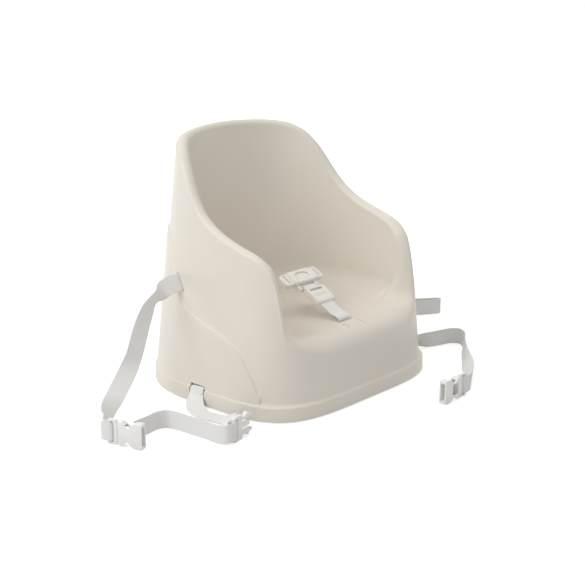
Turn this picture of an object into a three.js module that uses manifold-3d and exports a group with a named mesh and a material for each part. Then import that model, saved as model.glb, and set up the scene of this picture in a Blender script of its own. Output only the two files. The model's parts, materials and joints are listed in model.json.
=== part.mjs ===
// Chair booster seat for a small child: one moulded tub with a high round back,
// held to a dining chair by two webbing straps with side-release buckles, and a
// crotch harness with a push-button buckle. Millimetres, +Z up, the sitter looks
// towards -Y, and the origin is on the floor under the middle of the base.

import * as THREE from 'three';
import { mergeVertices } from 'three/addons/utils/BufferGeometryUtils.js';
import Module from 'manifold-3d';

const wasm = await Module();
wasm.setup();

// Driving sizes of the seat shell
const base_width = 360;
const front_reach = 174.5;
const back_reach = 153.5;
const front_squareness = 4.2;
const back_squareness = 2.5;
const wall = 3;
const flange_height = 22;
const flange_step = 5;
const shell_lift = 1.5;
const seat_height = 101;
const seat_fillet = 35;
const rim_width = 17;
const lip_roll = 30;
const lip_roll_drop = 24;
const side_draft = 0.105;
const front_draft = 0.05;
const back_draft = 0.075;
const bowl_draft = 0.08;
const panel_proud = 2.5;
const shallow_bowl = 12;
const deep_bowl = 85;

// Height of the rim above the seat pan round half of the outline: [angle from the
// middle in degrees, height], from -90 at the front of the seat to 90 at the back
const rim_line = [
  [-90, 1], [-66, 1], [-55, 2], [-51.5, 4.5], [-49, 9], [-47, 17.5], [-45.6, 31], [-44.4, 50],
  [-43.3, 70], [-42, 86], [-39.5, 101], [-33, 115], [-24, 124], [-10, 138], [5, 165], [22, 213],
  [32, 233], [44, 244], [62, 249], [90, 252],
];
const arm_start = -62;
const arm_full = -48;

// Line of the step on the side of the shell, front to back: [y, z]
const step_line = [
  [-118, 14], [-114, 36], [-105, 51], [-93, 65], [-76, 79], [-54, 91], [-29, 102],
  [-4, 117], [19, 135], [37, 158], [53, 186], [74, 207], [104, 219], [200, 222],
];

// Heights of the panel's rings above the flange
const panel_levels = [75, 130, 185, 235];

// Webbing and its slots
const webbing_width = 25;
const webbing_thick = 1.4;
const slot_clearance = 1.5;
const upper_slot_y = 46;
const upper_slot_lift = 58;
const upper_slot_lean = 23;
const lower_slot_y = -5;
const lower_slot_height = 6;
const channel_depth = 4;
const crotch_slot_back = 49;
const crotch_slot_gap = 3.4;
const pan_rise = 0.9;
const slit_width = 1.3;
const slit_length = 15;
const slit_ahead = 15.5;
const slit_apart = 31;
const inner_run_depth = 9;

// Feet, posts and ribs under the shell
const post_radius = 10;
const foot_radius = 9.4;
const foot_plug_radius = 7.1;
const post_front_y = -92;
const post_back_y = 84;
const post_x = 104;
const rib_thick = 2.6;
const rib_drop = 33;

// Side-release buckle
const buckle_width = 33;
const buckle_thick = 11;
const receiver_length = 51;
const socket_width = 25;
const socket_height = 6.8;
const socket_depth = 33;
const ladder_thick = 5;
const bar_depth = 4;
const ladder_slot = 5.2;
const clip_length = 42;
const clip_thick = 5.6;

// Where each strap buckle lies on the floor: [x, y, turn] of its webbing end
const receiver_left_at = [-346, -21, -71.5];
const clip_left_at = [-240, -136, 12];
const receiver_right_at = [98.5, -250.5, 180];
const clip_right_at = [297, 92, 62];
const buckle_lift = 0.6;

// Crotch harness
const harness_tilt = 27.9;
const harness_pivot_lift = 2;
const adjuster_at = 54;
const adjuster_length = 31;
const adjuster_width = 35;
const loop_bar_at = 75;
const buckle_at = 94;
const harness_width = 46;
const harness_depth = 24;
const harness_half = 5;
const loop_bar_radius = 2;
const button_length = 27;
const button_width = 13;
const button_recess = 1;
const button_travel = 1.4;
const roof_thick = 1.6;
const collar_thick = 1.3;
const collar_margin = 1.2;
const tongue_thick = 3;
const tongue_width = 17;
const tongue_reach = 13;
const clip_head = 15.5;
const fit_gap = 0.3;

const deg = Math.PI / 180;
const outline_centre_y = (front_reach - back_reach) / 2;
const crotch_slot_y = outline_centre_y - front_reach + crotch_slot_back;
const upper_slot_z = seat_height + upper_slot_lift;
const rib_bottom = seat_height - rib_drop;

// Materials
const finish = (color, roughness) => new THREE.MeshStandardMaterial({ color, roughness, metalness: 0 });
const shell_plastic = finish(0xd9d2c4, 0.45);
const buckle_plastic = finish(0xf0f0ee, 0.4);
const harness_plastic = finish(0xe8e6da, 0.4);
const webbing = finish(0xeceaee, 0.85);
const foot_rubber = finish(0x8c877c, 0.9);
const spring_steel = finish(0xb8bcc0, 0.3);

// Closed mesh to solid and back

function solid(geometry) {
  const bare = geometry.clone();
  bare.deleteAttribute('normal');
  bare.deleteAttribute('uv');
  const merged = mergeVertices(bare, 1e-4);
  return new wasm.Manifold(new wasm.Mesh({
    numProp: 3,
    vertProperties: new Float32Array(merged.attributes.position.array),
    triVerts: new Uint32Array(merged.index.array),
  }));
}

function geometryOf(body) {
  const mesh = body.getMesh();
  const geometry = new THREE.BufferGeometry();
  geometry.setAttribute('position', new THREE.BufferAttribute(new Float32Array(mesh.vertProperties), 3));
  geometry.setIndex(new THREE.BufferAttribute(new Uint32Array(mesh.triVerts), 1));
  geometry.computeVertexNormals();
  return geometry;
}

function block(sx, sy, sz, x, y, z) {
  return solid(new THREE.BoxGeometry(sx, sy, sz).translate(x, y, z));
}

function rod(radius, length, x, y, z, sides = 24) {
  const geometry = new THREE.CylinderGeometry(radius, radius, length, sides);
  return solid(geometry.rotateX(Math.PI / 2).translate(x, y, z));
}

// A flat outline in X and Y, given thickness from z0 to z1
function plate(shape, z0, z1, curveSegments = 6) {
  const geometry = new THREE.ExtrudeGeometry(shape, { depth: z1 - z0, bevelEnabled: false, curveSegments });
  return solid(geometry.translate(0, 0, z0));
}

function roundedRect(x0, y0, x1, y1, r) {
  const shape = new THREE.Shape();
  shape.moveTo(x0 + r, y0);
  shape.lineTo(x1 - r, y0);
  shape.absarc(x1 - r, y0 + r, r, -Math.PI / 2, 0);
  shape.lineTo(x1, y1 - r);
  shape.absarc(x1 - r, y1 - r, r, 0, Math.PI / 2);
  shape.lineTo(x0 + r, y1);
  shape.absarc(x0 + r, y1 - r, r, Math.PI / 2, Math.PI);
  shape.lineTo(x0, y0 + r);
  shape.absarc(x0 + r, y0 + r, r, Math.PI, Math.PI * 1.5);
  return shape;
}

// Closed skin over a list of rings with the same number of points; the ends are
// closed by a fan to a middle point
function skinRings(rings, startPole, endPole) {
  const count = rings[0].length;
  const positions = [];
  const index = [];
  rings.forEach((ring) => ring.forEach((p) => positions.push(p.x, p.y, p.z)));
  const startIndex = positions.length / 3;
  positions.push(startPole.x, startPole.y, startPole.z, endPole.x, endPole.y, endPole.z);
  for (let r = 0; r < rings.length - 1; r += 1) {
    for (let i = 0; i < count; i += 1) {
      const j = (i + 1) % count;
      const a = r * count + i;
      const b = r * count + j;
      index.push(a, b, b + count, a, b + count, a + count);
    }
  }
  const last = (rings.length - 1) * count;
  for (let i = 0; i < count; i += 1) {
    const j = (i + 1) % count;
    index.push(startIndex, j, i, startIndex + 1, last + i, last + j);
  }
  const geometry = new THREE.BufferGeometry();
  geometry.setAttribute('position', new THREE.BufferAttribute(new Float32Array(positions), 3));
  geometry.setIndex(index);
  return geometry;
}

function flipped(geometry) {
  const array = geometry.index.array;
  for (let i = 0; i < array.length; i += 3) {
    const keep = array[i];
    array[i] = array[i + 1];
    array[i + 1] = keep;
  }
  return geometry;
}

// Outline of the shell

function smooth(a, b, x) {
  const t = Math.min(1, Math.max(0, (x - a) / (b - a)));
  return t * t * (3 - 2 * t);
}

const mix = (a, b, t) => a + (b - a) * t;

// Point of the outline at an angle, shrunk evenly by the draft at height z
function outlinePoint(angle, side, z, inset) {
  const c = Math.cos(angle * deg);
  const s = Math.sin(angle * deg);
  const front = s < 0;
  const power = front ? front_squareness : back_squareness;
  const rise = Math.max(0, z - flange_height);
  const half = base_width / 2 - inset - side_draft * rise;
  const reach = front
    ? front_reach - inset - front_draft * rise
    : back_reach - inset - back_draft * rise;
  const r = (Math.abs(c) ** power + Math.abs(s) ** power) ** (-1 / power);
  return new THREE.Vector2(side * half * c * r, outline_centre_y + reach * s * r);
}

// Smooth height through the rim line, with flat ends and no overshoot
function rimHeight(angle) {
  let i = 0;
  while (i < rim_line.length - 2 && angle > rim_line[i + 1][0]) {
    i += 1;
  }
  const slopeAt = (k) => {
    if (k <= 0 || k >= rim_line.length - 1) {
      return 0;
    }
    const before = (rim_line[k][1] - rim_line[k - 1][1]) / (rim_line[k][0] - rim_line[k - 1][0]);
    const after = (rim_line[k + 1][1] - rim_line[k][1]) / (rim_line[k + 1][0] - rim_line[k][0]);
    return before * after <= 0 ? 0 : (2 * before * after) / (before + after);
  };
  const [x0, h0] = rim_line[i];
  const [x1, h1] = rim_line[i + 1];
  const w = x1 - x0;
  const t = (angle - x0) / w;
  const m0 = slopeAt(i) * w;
  const m1 = slopeAt(i + 1) * w;
  return seat_height + h0 * (1 + 2 * t) * (1 - t) ** 2 + m0 * t * (1 - t) ** 2
    + h1 * t * t * (3 - 2 * t) - m1 * t * t * (1 - t);
}

// Angles of the columns round half of the outline, evenly spaced along the rim
function columnAngles(count) {
  const fine = 720;
  const lengths = [0];
  let before = null;
  for (let i = 0; i <= fine; i += 1) {
    const angle = -90 + (180 * i) / fine;
    const p = outlinePoint(angle, 1, rimHeight(angle), 0);
    const here = new THREE.Vector3(p.x, p.y, rimHeight(angle));
    if (before) {
      lengths.push(lengths[i - 1] + here.distanceTo(before));
    }
    before = here;
  }
  const angles = [];
  let k = 0;
  for (let i = 0; i <= count; i += 1) {
    const want = (lengths[fine] * i) / count;
    while (k < fine && lengths[k] < want) {
      k += 1;
    }
    angles.push(-90 + (180 * k) / fine);
  }
  return angles;
}

// Slope stretch of the rim: 1 where it is level, more where it climbs steeply
function rimStretch(angle) {
  const step = 0.5;
  const lo = Math.max(-90, angle - step);
  const hi = Math.min(90, angle + step);
  const a = outlinePoint(lo, 1, rimHeight(lo), 0);
  const b = outlinePoint(hi, 1, rimHeight(hi), 0);
  const run = a.distanceTo(b);
  const climb = rimHeight(hi) - rimHeight(lo);
  return Math.min(3.2, Math.hypot(run, climb) / run);
}

// Profile of one column as [inset from the flange outline or from the rim's outer
// face, height, which], for the skin (depth 0) or the hollow side (depth wall)
function columnProfile(angle, depth) {
  const height = rimHeight(angle);
  const armed = smooth(arm_start, arm_full, angle);
  const stretch = mix(1, rimStretch(angle), armed);
  const half_rim = rim_width / 2;
  const outer_run = mix(lip_roll, half_rim, armed);
  const outer_drop = mix(lip_roll_drop, half_rim * stretch, armed);
  const inner_run = mix(lip_roll * 0.7, half_rim, armed);
  const bowl = height - seat_height;
  const inner_drop = Math.min(half_rim * stretch, bowl * 0.45);
  const rim_base = height - outer_drop;
  const top = height - depth * stretch;
  const foot_drop = Math.min(seat_fillet, bowl * 0.5);
  const wall_top = height - inner_drop;
  const wall_bottom = seat_height + foot_drop;
  const lean = 4 + bowl_draft * Math.max(0, wall_top - wall_bottom);
  const rows = [];
  const d = depth;
  if (d === 0) {
    rows.push(['flange', 0, shell_lift], ['flange', 0.3, flange_height - 4]);
    rows.push(['flange', 1.1, flange_height - 1.2], ['flange', 2.6, flange_height]);
    rows.push(['flange', flange_step - 1, flange_height + 1.2]);
    rows.push(['body', 0, flange_height + 5]);
  } else {
    rows.push(['flange', d, shell_lift], ['flange', d + 0.3, flange_height - 5]);
    rows.push(['body', d, flange_height + 1]);
  }
  const wall_start = flange_height + 8;
  [0.25, 0.5, 0.75, 1].forEach((t) => rows.push(['body', d, mix(wall_start, rim_base, t)]));
  const rim_steps = d === 0 ? [22.5, 45, 67.5, 90] : [30, 60, 90];
  rim_steps.forEach((a) => {
    const run = outer_run - (outer_run - d) * Math.cos(a * deg);
    rows.push(['rim', run, rim_base + (top - rim_base) * Math.sin(a * deg)]);
  });
  const inside = [];
  const inner_steps = d === 0 ? [67.5, 45, 22.5, 0] : [60, 30, 0];
  inner_steps.forEach((a) => {
    const run = outer_run + (inner_run - d) * Math.cos(a * deg);
    inside.push([run, top - (top - wall_top) * (1 - Math.sin(a * deg))]);
  });
  const wall_inset = outer_run + inner_run - d;
  const wall_z = (t) => mix(Math.min(wall_top, top - 0.4), wall_bottom - (d > 0 ? d * (1 - armed) : 0), t);
  [0.33, 0.67, 1].forEach((t) => inside.push([wall_inset + lean * t, wall_z(t)]));
  const foot_z = wall_z(1);
  const foot = seat_height - d;
  const foot_steps = d === 0 ? [22.5, 45, 67.5, 90] : [30, 60, 90];
  foot_steps.forEach((a) => {
    const run = wall_inset + lean + (seat_fillet + d) * (1 - Math.cos(a * deg));
    inside.push([run, foot + (foot_z - foot) * (1 - Math.sin(a * deg))]);
  });
  // Where the bowl is shallow its side turns into one gentle slope down to the pan
  const deep = smooth(shallow_bowl, deep_bowl, bowl);
  const [last_run] = inside[inside.length - 1];
  inside.forEach(([run, z], i) => {
    const t = (i + 1) / inside.length;
    const gentle = mix(top, foot, smooth(0, 1, t));
    rows.push(['rim', mix(mix(outer_run, last_run, t), run, deep), mix(gentle, z, deep)]);
  });
  return { rows, rim_base };
}

// Point of one profile row in space
function rowPoint(angle, side, row, rim_base) {
  const [kind, inset, z] = row;
  const level = { flange: 0, body: z, rim: rim_base }[kind];
  const p = outlinePoint(angle, side, level, kind === 'flange' ? inset : flange_step + inset);
  return new THREE.Vector3(p.x, p.y, z);
}

function shellSkin() {
  const half = columnAngles(36);
  const columns = [];
  half.forEach((angle) => columns.push([angle, 1]));
  half.slice(1, -1).reverse().forEach((angle) => columns.push([angle, -1]));
  const ringsFor = (depth) => {
    const profiles = columns.map(([angle]) => columnProfile(angle, depth));
    const rings = profiles[0].rows.map((_, r) => columns.map(
      ([angle, side], i) => rowPoint(angle, side, profiles[i].rows[r], profiles[i].rim_base),
    ));
    const pole = new THREE.Vector3(0, outline_centre_y - 12, seat_height - depth);
    const last = rings[rings.length - 1];
    [0.4, 0.75].forEach((t) => rings.push(last.map((p) => p.clone().lerp(pole, t))));
    return { rings, pole };
  };
  const outside = ringsFor(0);
  const hollow = ringsFor(wall);
  const rings = [...outside.rings.reverse(), ...hollow.rings];
  return solid(flipped(skinRings(rings, outside.pole, hollow.pole)));
}

// Raised rear panel: a sleeve just proud of the wall, kept only behind the step line
function stepPanel() {
  const columns = [];
  for (let i = 0; i < 72; i += 1) {
    const turn = -90 + (360 * i) / 72;
    columns.push(turn <= 90 ? [turn, 1] : [180 - turn, -1]);
  }
  const ring = (inset, z) => columns.map(([angle, side]) => {
    const p = outlinePoint(angle, side, z, flange_step + inset);
    return new THREE.Vector3(p.x, p.y, z);
  });
  const levels = [flange_height - 3, ...panel_levels];
  const closed = (inset, rise) => {
    const rings = levels.map((z, i) => ring(inset, z + (i === 0 ? -rise : 0) + (i === 4 ? rise : 0)));
    const low = new THREE.Vector3(0, outline_centre_y, levels[0] - rise);
    const high = new THREE.Vector3(0, outline_centre_y, levels[4] + rise);
    return solid(skinRings(rings, low, high));
  };
  const sleeve = closed(-panel_proud, 0).subtract(closed(wall / 2, 5));
  const curve = new THREE.SplineCurve(step_line.map(([y, z]) => new THREE.Vector2(y, z)));
  const edge = curve.getPoints(44);
  const [line_start] = step_line[0];
  const [line_end] = step_line[step_line.length - 1];
  const region = new THREE.Shape([...edge, new THREE.Vector2(line_end, 0), new THREE.Vector2(line_start, 0)]);
  const prism = new THREE.ExtrudeGeometry(region, { depth: base_width + 20, bevelEnabled: false });
  prism.translate(0, 0, -base_width / 2 - 10);
  prism.applyMatrix4(new THREE.Matrix4().makeBasis(
    new THREE.Vector3(0, 1, 0), new THREE.Vector3(0, 0, 1), new THREE.Vector3(1, 0, 0),
  ));
  return sleeve.intersect(solid(prism));
}

// X of the shell's outer wall on one side at a place in Y and Z
function wallX(y, z) {
  let lo = -89;
  let hi = 89;
  for (let i = 0; i < 30; i += 1) {
    const mid = (lo + hi) / 2;
    if (outlinePoint(mid, 1, z, flange_step).y < y) {
      lo = mid;
    } else {
      hi = mid;
    }
  }
  return outlinePoint(lo, 1, z, flange_step).x;
}

const upper_wall_x = wallX(upper_slot_y, upper_slot_z);
const lower_wall_x = wallX(lower_slot_y, flange_height);
const lower_slot_z = flange_height + lower_slot_height / 2 - 0.5;
const slot_length = webbing_width + 2 * slot_clearance;
const slot_gap = webbing_thick + 1.6;

function seatShell() {
  let shell = shellSkin().add(stepPanel());
  // Backing of the recess under each lower slot
  const channel_length = slot_length + 1;
  const recess_floor = base_width / 2 - channel_depth;
  [-1, 1].forEach((side) => {
    const depth = wall + channel_depth;
    const x = side * (base_width / 2 - 0.6 - depth / 2);
    shell = shell.add(block(depth, channel_length + 2 * wall, flange_height - 4, x, lower_slot_y,
      shell_lift + (flange_height - 4) / 2));
  });
  // Posts for the feet, with ribs between them under the pan
  const post_top = seat_height - wall / 2;
  const post_length = post_top - shell_lift;
  const rib_height = post_top - rib_bottom;
  const rib_z = (post_top + rib_bottom) / 2;
  const rib_depth = post_back_y - post_front_y;
  [post_front_y, post_back_y].forEach((y) => {
    shell = shell.add(block(2 * post_x, rib_thick, rib_height, 0, y, rib_z));
  });
  [-post_x, 0, post_x].forEach((x) => {
    shell = shell.add(block(rib_thick, rib_depth, rib_height, x, (post_front_y + post_back_y) / 2, rib_z));
  });
  [-1, 1].forEach((side) => [post_front_y, post_back_y].forEach((y) => {
    shell = shell.add(rod(post_radius, post_length, side * post_x, y, shell_lift + post_length / 2));
  }));
  [-1, 1].forEach((side) => [post_front_y, post_back_y].forEach((y) => {
    shell = shell.subtract(rod(foot_plug_radius + fit_gap, 60, side * post_x, y, shell_lift + 29));
  }));
  // Upper slots, leaning with the step line
  [-1, 1].forEach((side) => {
    const cut = new THREE.BoxGeometry(30, slot_gap, slot_length);
    cut.rotateX(-upper_slot_lean * deg);
    cut.translate(side * (upper_wall_x + 7), upper_slot_y, upper_slot_z);
    shell = shell.subtract(solid(cut));
  });
  // Lower slots and the recess that leads each webbing down to the floor
  [-1, 1].forEach((side) => {
    shell = shell.subtract(block(24, slot_length, lower_slot_height, side * (lower_wall_x + 2),
      lower_slot_y, lower_slot_z));
    shell = shell.subtract(block(20, channel_length, flange_height, side * (recess_floor + 10),
      lower_slot_y, flange_height / 2 + 1));
  });
  // Crotch slot, and the two short slits ahead of its ends
  shell = shell.subtract(block(slot_length, crotch_slot_gap, 12, 0, crotch_slot_y, seat_height - 1));
  [-1, 1].forEach((side) => {
    shell = shell.subtract(block(slit_width, slit_length, 12, side * slit_apart / 2,
      crotch_slot_y - slit_ahead, seat_height - 1));
  });
  return shell;
}

function foot() {
  const pad = rod(foot_radius, shell_lift - fit_gap, 0, 0, (shell_lift - fit_gap) / 2);
  return pad.add(rod(foot_plug_radius, 8, 0, 0, 4));
}

// Webbing: a flat band along a hand-laid route. Each point is
// [x, y, z, wx, wy, wz], where w is the direction across the band there.

function band(route, steps) {
  const middle = new THREE.CatmullRomCurve3(route.map((p) => new THREE.Vector3(p[0], p[1], p[2])), false,
    'centripetal');
  const across = new THREE.CatmullRomCurve3(route.map((p) => new THREE.Vector3(p[3], p[4], p[5])), false,
    'catmullrom', 0.3);
  const rings = [];
  for (let i = 0; i <= steps; i += 1) {
    const t = i / steps;
    const p = middle.getPoint(t);
    const tangent = middle.getTangent(t);
    const w = across.getPoint(t);
    w.addScaledVector(tangent, -w.dot(tangent)).normalize();
    const n = new THREE.Vector3().crossVectors(tangent, w);
    const corner = (a, b) => p.clone().addScaledVector(w, a * webbing_width / 2)
      .addScaledVector(n, b * webbing_thick / 2);
    rings.push([corner(-1, -1), corner(1, -1), corner(1, 1), corner(-1, 1)]);
  }
  return skinRings(rings, middle.getPoint(0), middle.getPoint(1));
}

// Place of a buckle: its strap-end bar is at the origin of its own frame, x runs
// to its far end, y across it and z through it
function placement([x, y, angle]) {
  return new THREE.Matrix4().makeTranslation(x, y, buckle_width / 2 + buckle_lift)
    .multiply(new THREE.Matrix4().makeRotationZ(angle * deg))
    .multiply(new THREE.Matrix4().makeRotationX(Math.PI / 2));
}

// Route points round the end bar of a buckle, from the arriving face to the other
function barWrap(place, face) {
  const clear = ladder_thick / 2 + fit_gap + webbing_thick / 2 + 0.2;
  const slot_middle = bar_depth + ladder_slot / 2;
  const local = [[-9, clear * 0.75], [-2, clear], [3, clear], [slot_middle - 0.2, clear * 0.62],
    [slot_middle, 0], [slot_middle - 0.2, -clear * 0.62], [3, -clear], [-2, -clear], [-9, -clear * 0.75]];
  return local.map(([x, z]) => {
    const p = new THREE.Vector3(x, 0, z * face).applyMatrix4(place);
    return [p.x, p.y, p.z, 0, 0, 1];
  });
}

const receiver_left_place = placement(receiver_left_at);
const clip_left_place = placement(clip_left_at);
const receiver_right_place = placement(receiver_right_at);
const clip_right_place = placement(clip_right_at);

const slot_lean_y = Math.sin(upper_slot_lean * deg);
const slot_lean_z = Math.cos(upper_slot_lean * deg);
const free_start = upper_wall_x - 1;
const lower_free_start = lower_wall_x - 1;
const slot_exit = [slot_lean_y, slot_lean_z];

const upper_left_route = [
  [-free_start, upper_slot_y, upper_slot_z, 0, ...slot_exit],
  [-176, upper_slot_y, upper_slot_z - 0.5, 0, ...slot_exit],
  [-187, 45, 156, -0.2, 0.15, 0.96], [-196, 44, 152.8, -0.5, -0.25, 0.8],
  [-205, 43, 148.6, -0.7, -0.66, 0.3], [-214, 41.8, 143, -0.7, -0.66, 0.27],
  [-223, 40.5, 134.5, -0.62, -0.76, 0.15], [-233, 39.5, 119, 0, -0.98, -0.12],
  [-243, 38, 99, 0.5, -0.85, -0.2],
  [-254, 36, 77, 0.62, -0.77, -0.15], [-270, 34, 56, 0.65, -0.75, -0.1],
  [-289, 31.5, 36, 0.67, -0.74, 0], [-305, 28, 22, 0.66, -0.7, 0.25],
  [-320, 18, 14.5, 0.4, -0.45, 0.8], [-331, 5, 14.5, 0.1, -0.1, 0.99],
  ...barWrap(receiver_left_place, -1),
];

const lower_left_route = [
  [-lower_free_start, -5, lower_slot_z, 0, -1, 0.12], [-175.6, -5, lower_slot_z - 0.1, 0, -1, 0.12],
  [-178.4, -5, 22, 0, -1, 0.08], [-179.2, -5, 18, 0, -1, 0], [-181.2, -5.6, 13.2, 0.05, -1, 0.02],
  [-190, -12, 7.2, 0.667, -0.667, 0.333], [-198, -25, 2.8, 1, -0.15, 0.06],
  [-202, -40, 1.9, 1, -0.05, 0], [-201, -55, 1.9, 1, 0, 0], [-199, -72, 3, 1, 0, 0.06],
  [-199, -88, 7.4, 0.92, 0.05, 0.38], [-207, -104, 12.2, 0.6, 0.1, 0.8],
  [-220, -119, 14.5, 0.15, 0.05, 1], [-234, -128, 16.6, 0, 0, 1],
  [-244, -131.5, 17.1, 0, 0, 1],
  ...barWrap(clip_left_place, -1).slice(1),
  [-253, -138, 16.2, 0, 0, 1], [-256, -126, 14.5, 0, 0, 1],
  [-256, -104, 13.7, 0, 0, 1], [-258, -78, 13.5, 0.03, 0, 1],
  [-261, -52, 13.5, 0.05, 0, 1], [-265, -40, 13.5, 0.05, 0, 1],
  [-276, -35, 13.5, 0, 0.03, 1], [-296, -37, 13.5, 0, 0.03, 1], [-318, -38, 13.6, 0, 0, 1],
];

const lower_right_route = [
  [lower_free_start, -5, lower_slot_z, 0, -1, 0.12], [175.6, -5, lower_slot_z - 0.1, 0, -1, 0.12],
  [178.4, -5, 22, 0, -1, 0.08], [179.2, -5, 18, 0, -1, 0], [181.2, -5.6, 13.2, -0.05, -1, 0.02],
  [190, -12, 7.2, -0.667, -0.667, 0.333], [198, -25, 2.8, -1, -0.15, 0.06],
  [202, -42, 2.7, -1, -0.02, 0.04], [205, -62, 5.6, -0.95, 0.05, 0.25],
  [212, -82, 12, -0.6, 0, 0.8], [226, -96, 13.4, -0.15, 0, 1],
  [244, -103, 13.6, 0, 0, 1], [262, -109, 13.6, 0, 0, 1], [270, -120, 13.6, 0, 0, 1],
  [262, -134, 13.6, 0.12, 0, 1], [238, -151, 13.4, 0.35, -0.25, 0.9],
  [206, -176, 12.6, 0.55, -0.45, 0.7], [174, -203, 12.4, 0.52, -0.5, 0.7],
  [145, -228, 13.4, 0.3, -0.35, 0.9], [125, -244, 15.5, 0.05, -0.1, 1],
  ...barWrap(receiver_right_place, -1),
];

const upper_right_route = [
  [free_start, upper_slot_y, upper_slot_z, 0, ...slot_exit],
  [176, upper_slot_y, upper_slot_z - 0.5, 0, ...slot_exit],
  [190, 48, 154, 0.3, 0.3, 0.9], [206, 53, 143, 0.6, 0.6, 0.5],
  [220, 59, 127, 0.6, 0.8, 0.1], [233, 65, 107, 0.5, 0.85, -0.1], [246, 71, 84, 0.45, 0.88, -0.15],
  [259, 76, 60, 0.5, 0.85, -0.1], [272, 79, 38, 0.55, 0.8, 0.1], [283, 80, 24, 0.4, 0.5, 0.7],
  [290, 82, 18, 0.1, 0.1, 0.98],
  ...barWrap(clip_right_place, 1).slice(1),
  [301, 76, 15, 0, 0, 1], [312, 60, 13.7, 0, 0, 1], [326, 36, 13.5, 0, 0, 1],
  [344, 16, 13.5, 0, 0, 1], [366, 2, 13.5, 0, 0, 1], [378, -3.5, 13.5, 0, 0, 1],
  [382.5, -1.5, 13.5, 0, 0, 1], [381, 3, 13.6, 0, 0, 1], [368, 12, 13.8, 0, 0, 1], [350, 26, 14, 0, 0, 1],
  [340, 40, 14, 0, 0, 1],
];

// Inner run of the upper strap: through the hollow, round the back
function upperInnerRoute() {
  const inset = flange_step + inner_run_depth;
  const route = [];
  const start = free_start - 0.6;
  const entry = (side) => [[start, 0, 1], [upper_wall_x - 5, 0, 1], [upper_wall_x - 11, 3, 0.8],
    [upper_wall_x - 16, 9, 0.5]].map(([x, back, lean]) => [side * x, upper_slot_y + back, upper_slot_z, 0,
    slot_lean_y * lean, slot_lean_z]);
  route.push(...entry(-1));
  const first = 32;
  for (let angle = first; angle < 180 - first + 1; angle += 8) {
    const side = angle <= 90 ? -1 : 1;
    const half = angle <= 90 ? angle : 180 - angle;
    const p = outlinePoint(half, side, upper_slot_z, inset);
    route.push([p.x, p.y, upper_slot_z, 0, 0, 1]);
  }
  route.push(...entry(1).reverse());
  return route;
}

function lowerInnerRoute() {
  const start = lower_free_start - 0.6;
  return [-1, -0.9, -0.6, 0, 0.6, 0.9, 1].map((t) => [
    start * t, lower_slot_y, lower_slot_z, 0, 1, Math.abs(t) < 0.8 ? 0 : -0.12,
  ]);
}

// Side-release receiver: a flat box with a socket at its mouth, a notch in each
// side that shows the clip's shoulders, and a slotted end for the webbing

function receiver() {
  const h = buckle_width / 2;
  const end = bar_depth + ladder_slot;
  const neck = end + 3;
  const notch = 31;
  const outline = new THREE.Shape();
  outline.moveTo(end, -h + 2.4);
  outline.lineTo(neck, -h + 1.4);
  outline.lineTo(notch - 9, -h + 1.2);
  outline.lineTo(notch, -h + 7.6);
  outline.lineTo(notch + 6, -h + 1.6);
  outline.quadraticCurveTo(notch + 9, -h, notch + 12, -h);
  outline.lineTo(receiver_length - 2, -h);
  outline.quadraticCurveTo(receiver_length, -h, receiver_length, -h + 2);
  outline.lineTo(receiver_length, h - 2);
  outline.quadraticCurveTo(receiver_length, h, receiver_length - 2, h);
  outline.lineTo(notch + 12, h);
  outline.quadraticCurveTo(notch + 9, h, notch + 6, h - 1.6);
  outline.lineTo(notch, h - 7.6);
  outline.lineTo(notch - 9, h - 1.2);
  outline.lineTo(neck, h - 1.4);
  outline.lineTo(end, h - 2.4);
  let body = plate(outline, -buckle_thick / 2, buckle_thick / 2);
  // The back of the housing slopes down to the slotted end
  [-1, 1].forEach((face) => {
    const slope = new THREE.BoxGeometry(18, buckle_width + 4, 6);
    slope.rotateY(face * 20 * deg);
    slope.translate(end - 1, 0, face * (ladder_thick / 2 + 3.9));
    body = body.subtract(solid(slope));
  });
  const ladder = new THREE.Shape(roundedRect(0, -h, end + 4, h, 1.6).getPoints(4));
  ladder.holes.push(roundedRect(bar_depth, -h + 2.6, end, h - 2.6, 1));
  body = body.add(plate(ladder, -ladder_thick / 2, ladder_thick / 2));
  const socket_start = receiver_length - socket_depth;
  const socket = roundedRect(socket_start, -socket_width / 2, receiver_length + 2, socket_width / 2, 2);
  return body.subtract(plate(socket, -socket_height / 2, socket_height / 2));
}

// Side-release clip: slotted end, two springy arms with shoulders, and a middle guide
function sideClip() {
  const h = buckle_width / 2;
  const end = bar_depth + ladder_slot;
  const ladder = new THREE.Shape(roundedRect(0, -h, end + 9, h, 1.8).getPoints(4));
  ladder.holes.push(roundedRect(bar_depth, -h + 2.8, end, h - 2.8, 1));
  let body = plate(ladder, -ladder_thick / 2, ladder_thick / 2);
  const arm = new THREE.Shape();
  const root = end + 7;
  arm.moveTo(root, 8);
  arm.lineTo(root, 12.2);
  arm.quadraticCurveTo(root + 6, 11.6, root + 10, 12.4);
  arm.quadraticCurveTo(root + 13, 15.6, root + 16, 15.2);
  arm.quadraticCurveTo(root + 17, 13.4, root + 18, 12.4);
  arm.quadraticCurveTo(clip_length, 11.6, clip_length, 9.4);
  arm.quadraticCurveTo(clip_length - 1, 7.4, clip_length - 4, 7.6);
  arm.quadraticCurveTo(root + 10, 9.4, root, 8);
  const geometry = plate(arm, -clip_thick / 2, clip_thick / 2, 4);
  body = body.add(geometry).add(geometry.mirror([0, 1, 0]));
  const guide = roundedRect(end + 5, -3.2, clip_length - 5, 3.2, 2.4);
  return body.add(plate(guide, -1.8, 1.8, 4));
}

// Harness frame: origin at the seat slot's pivot, y up the tilted strap

const harness_frame = new THREE.Matrix4()
  .makeTranslation(0, crotch_slot_y, seat_height + harness_pivot_lift)
  .multiply(new THREE.Matrix4().makeRotationX(harness_tilt * deg));

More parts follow.
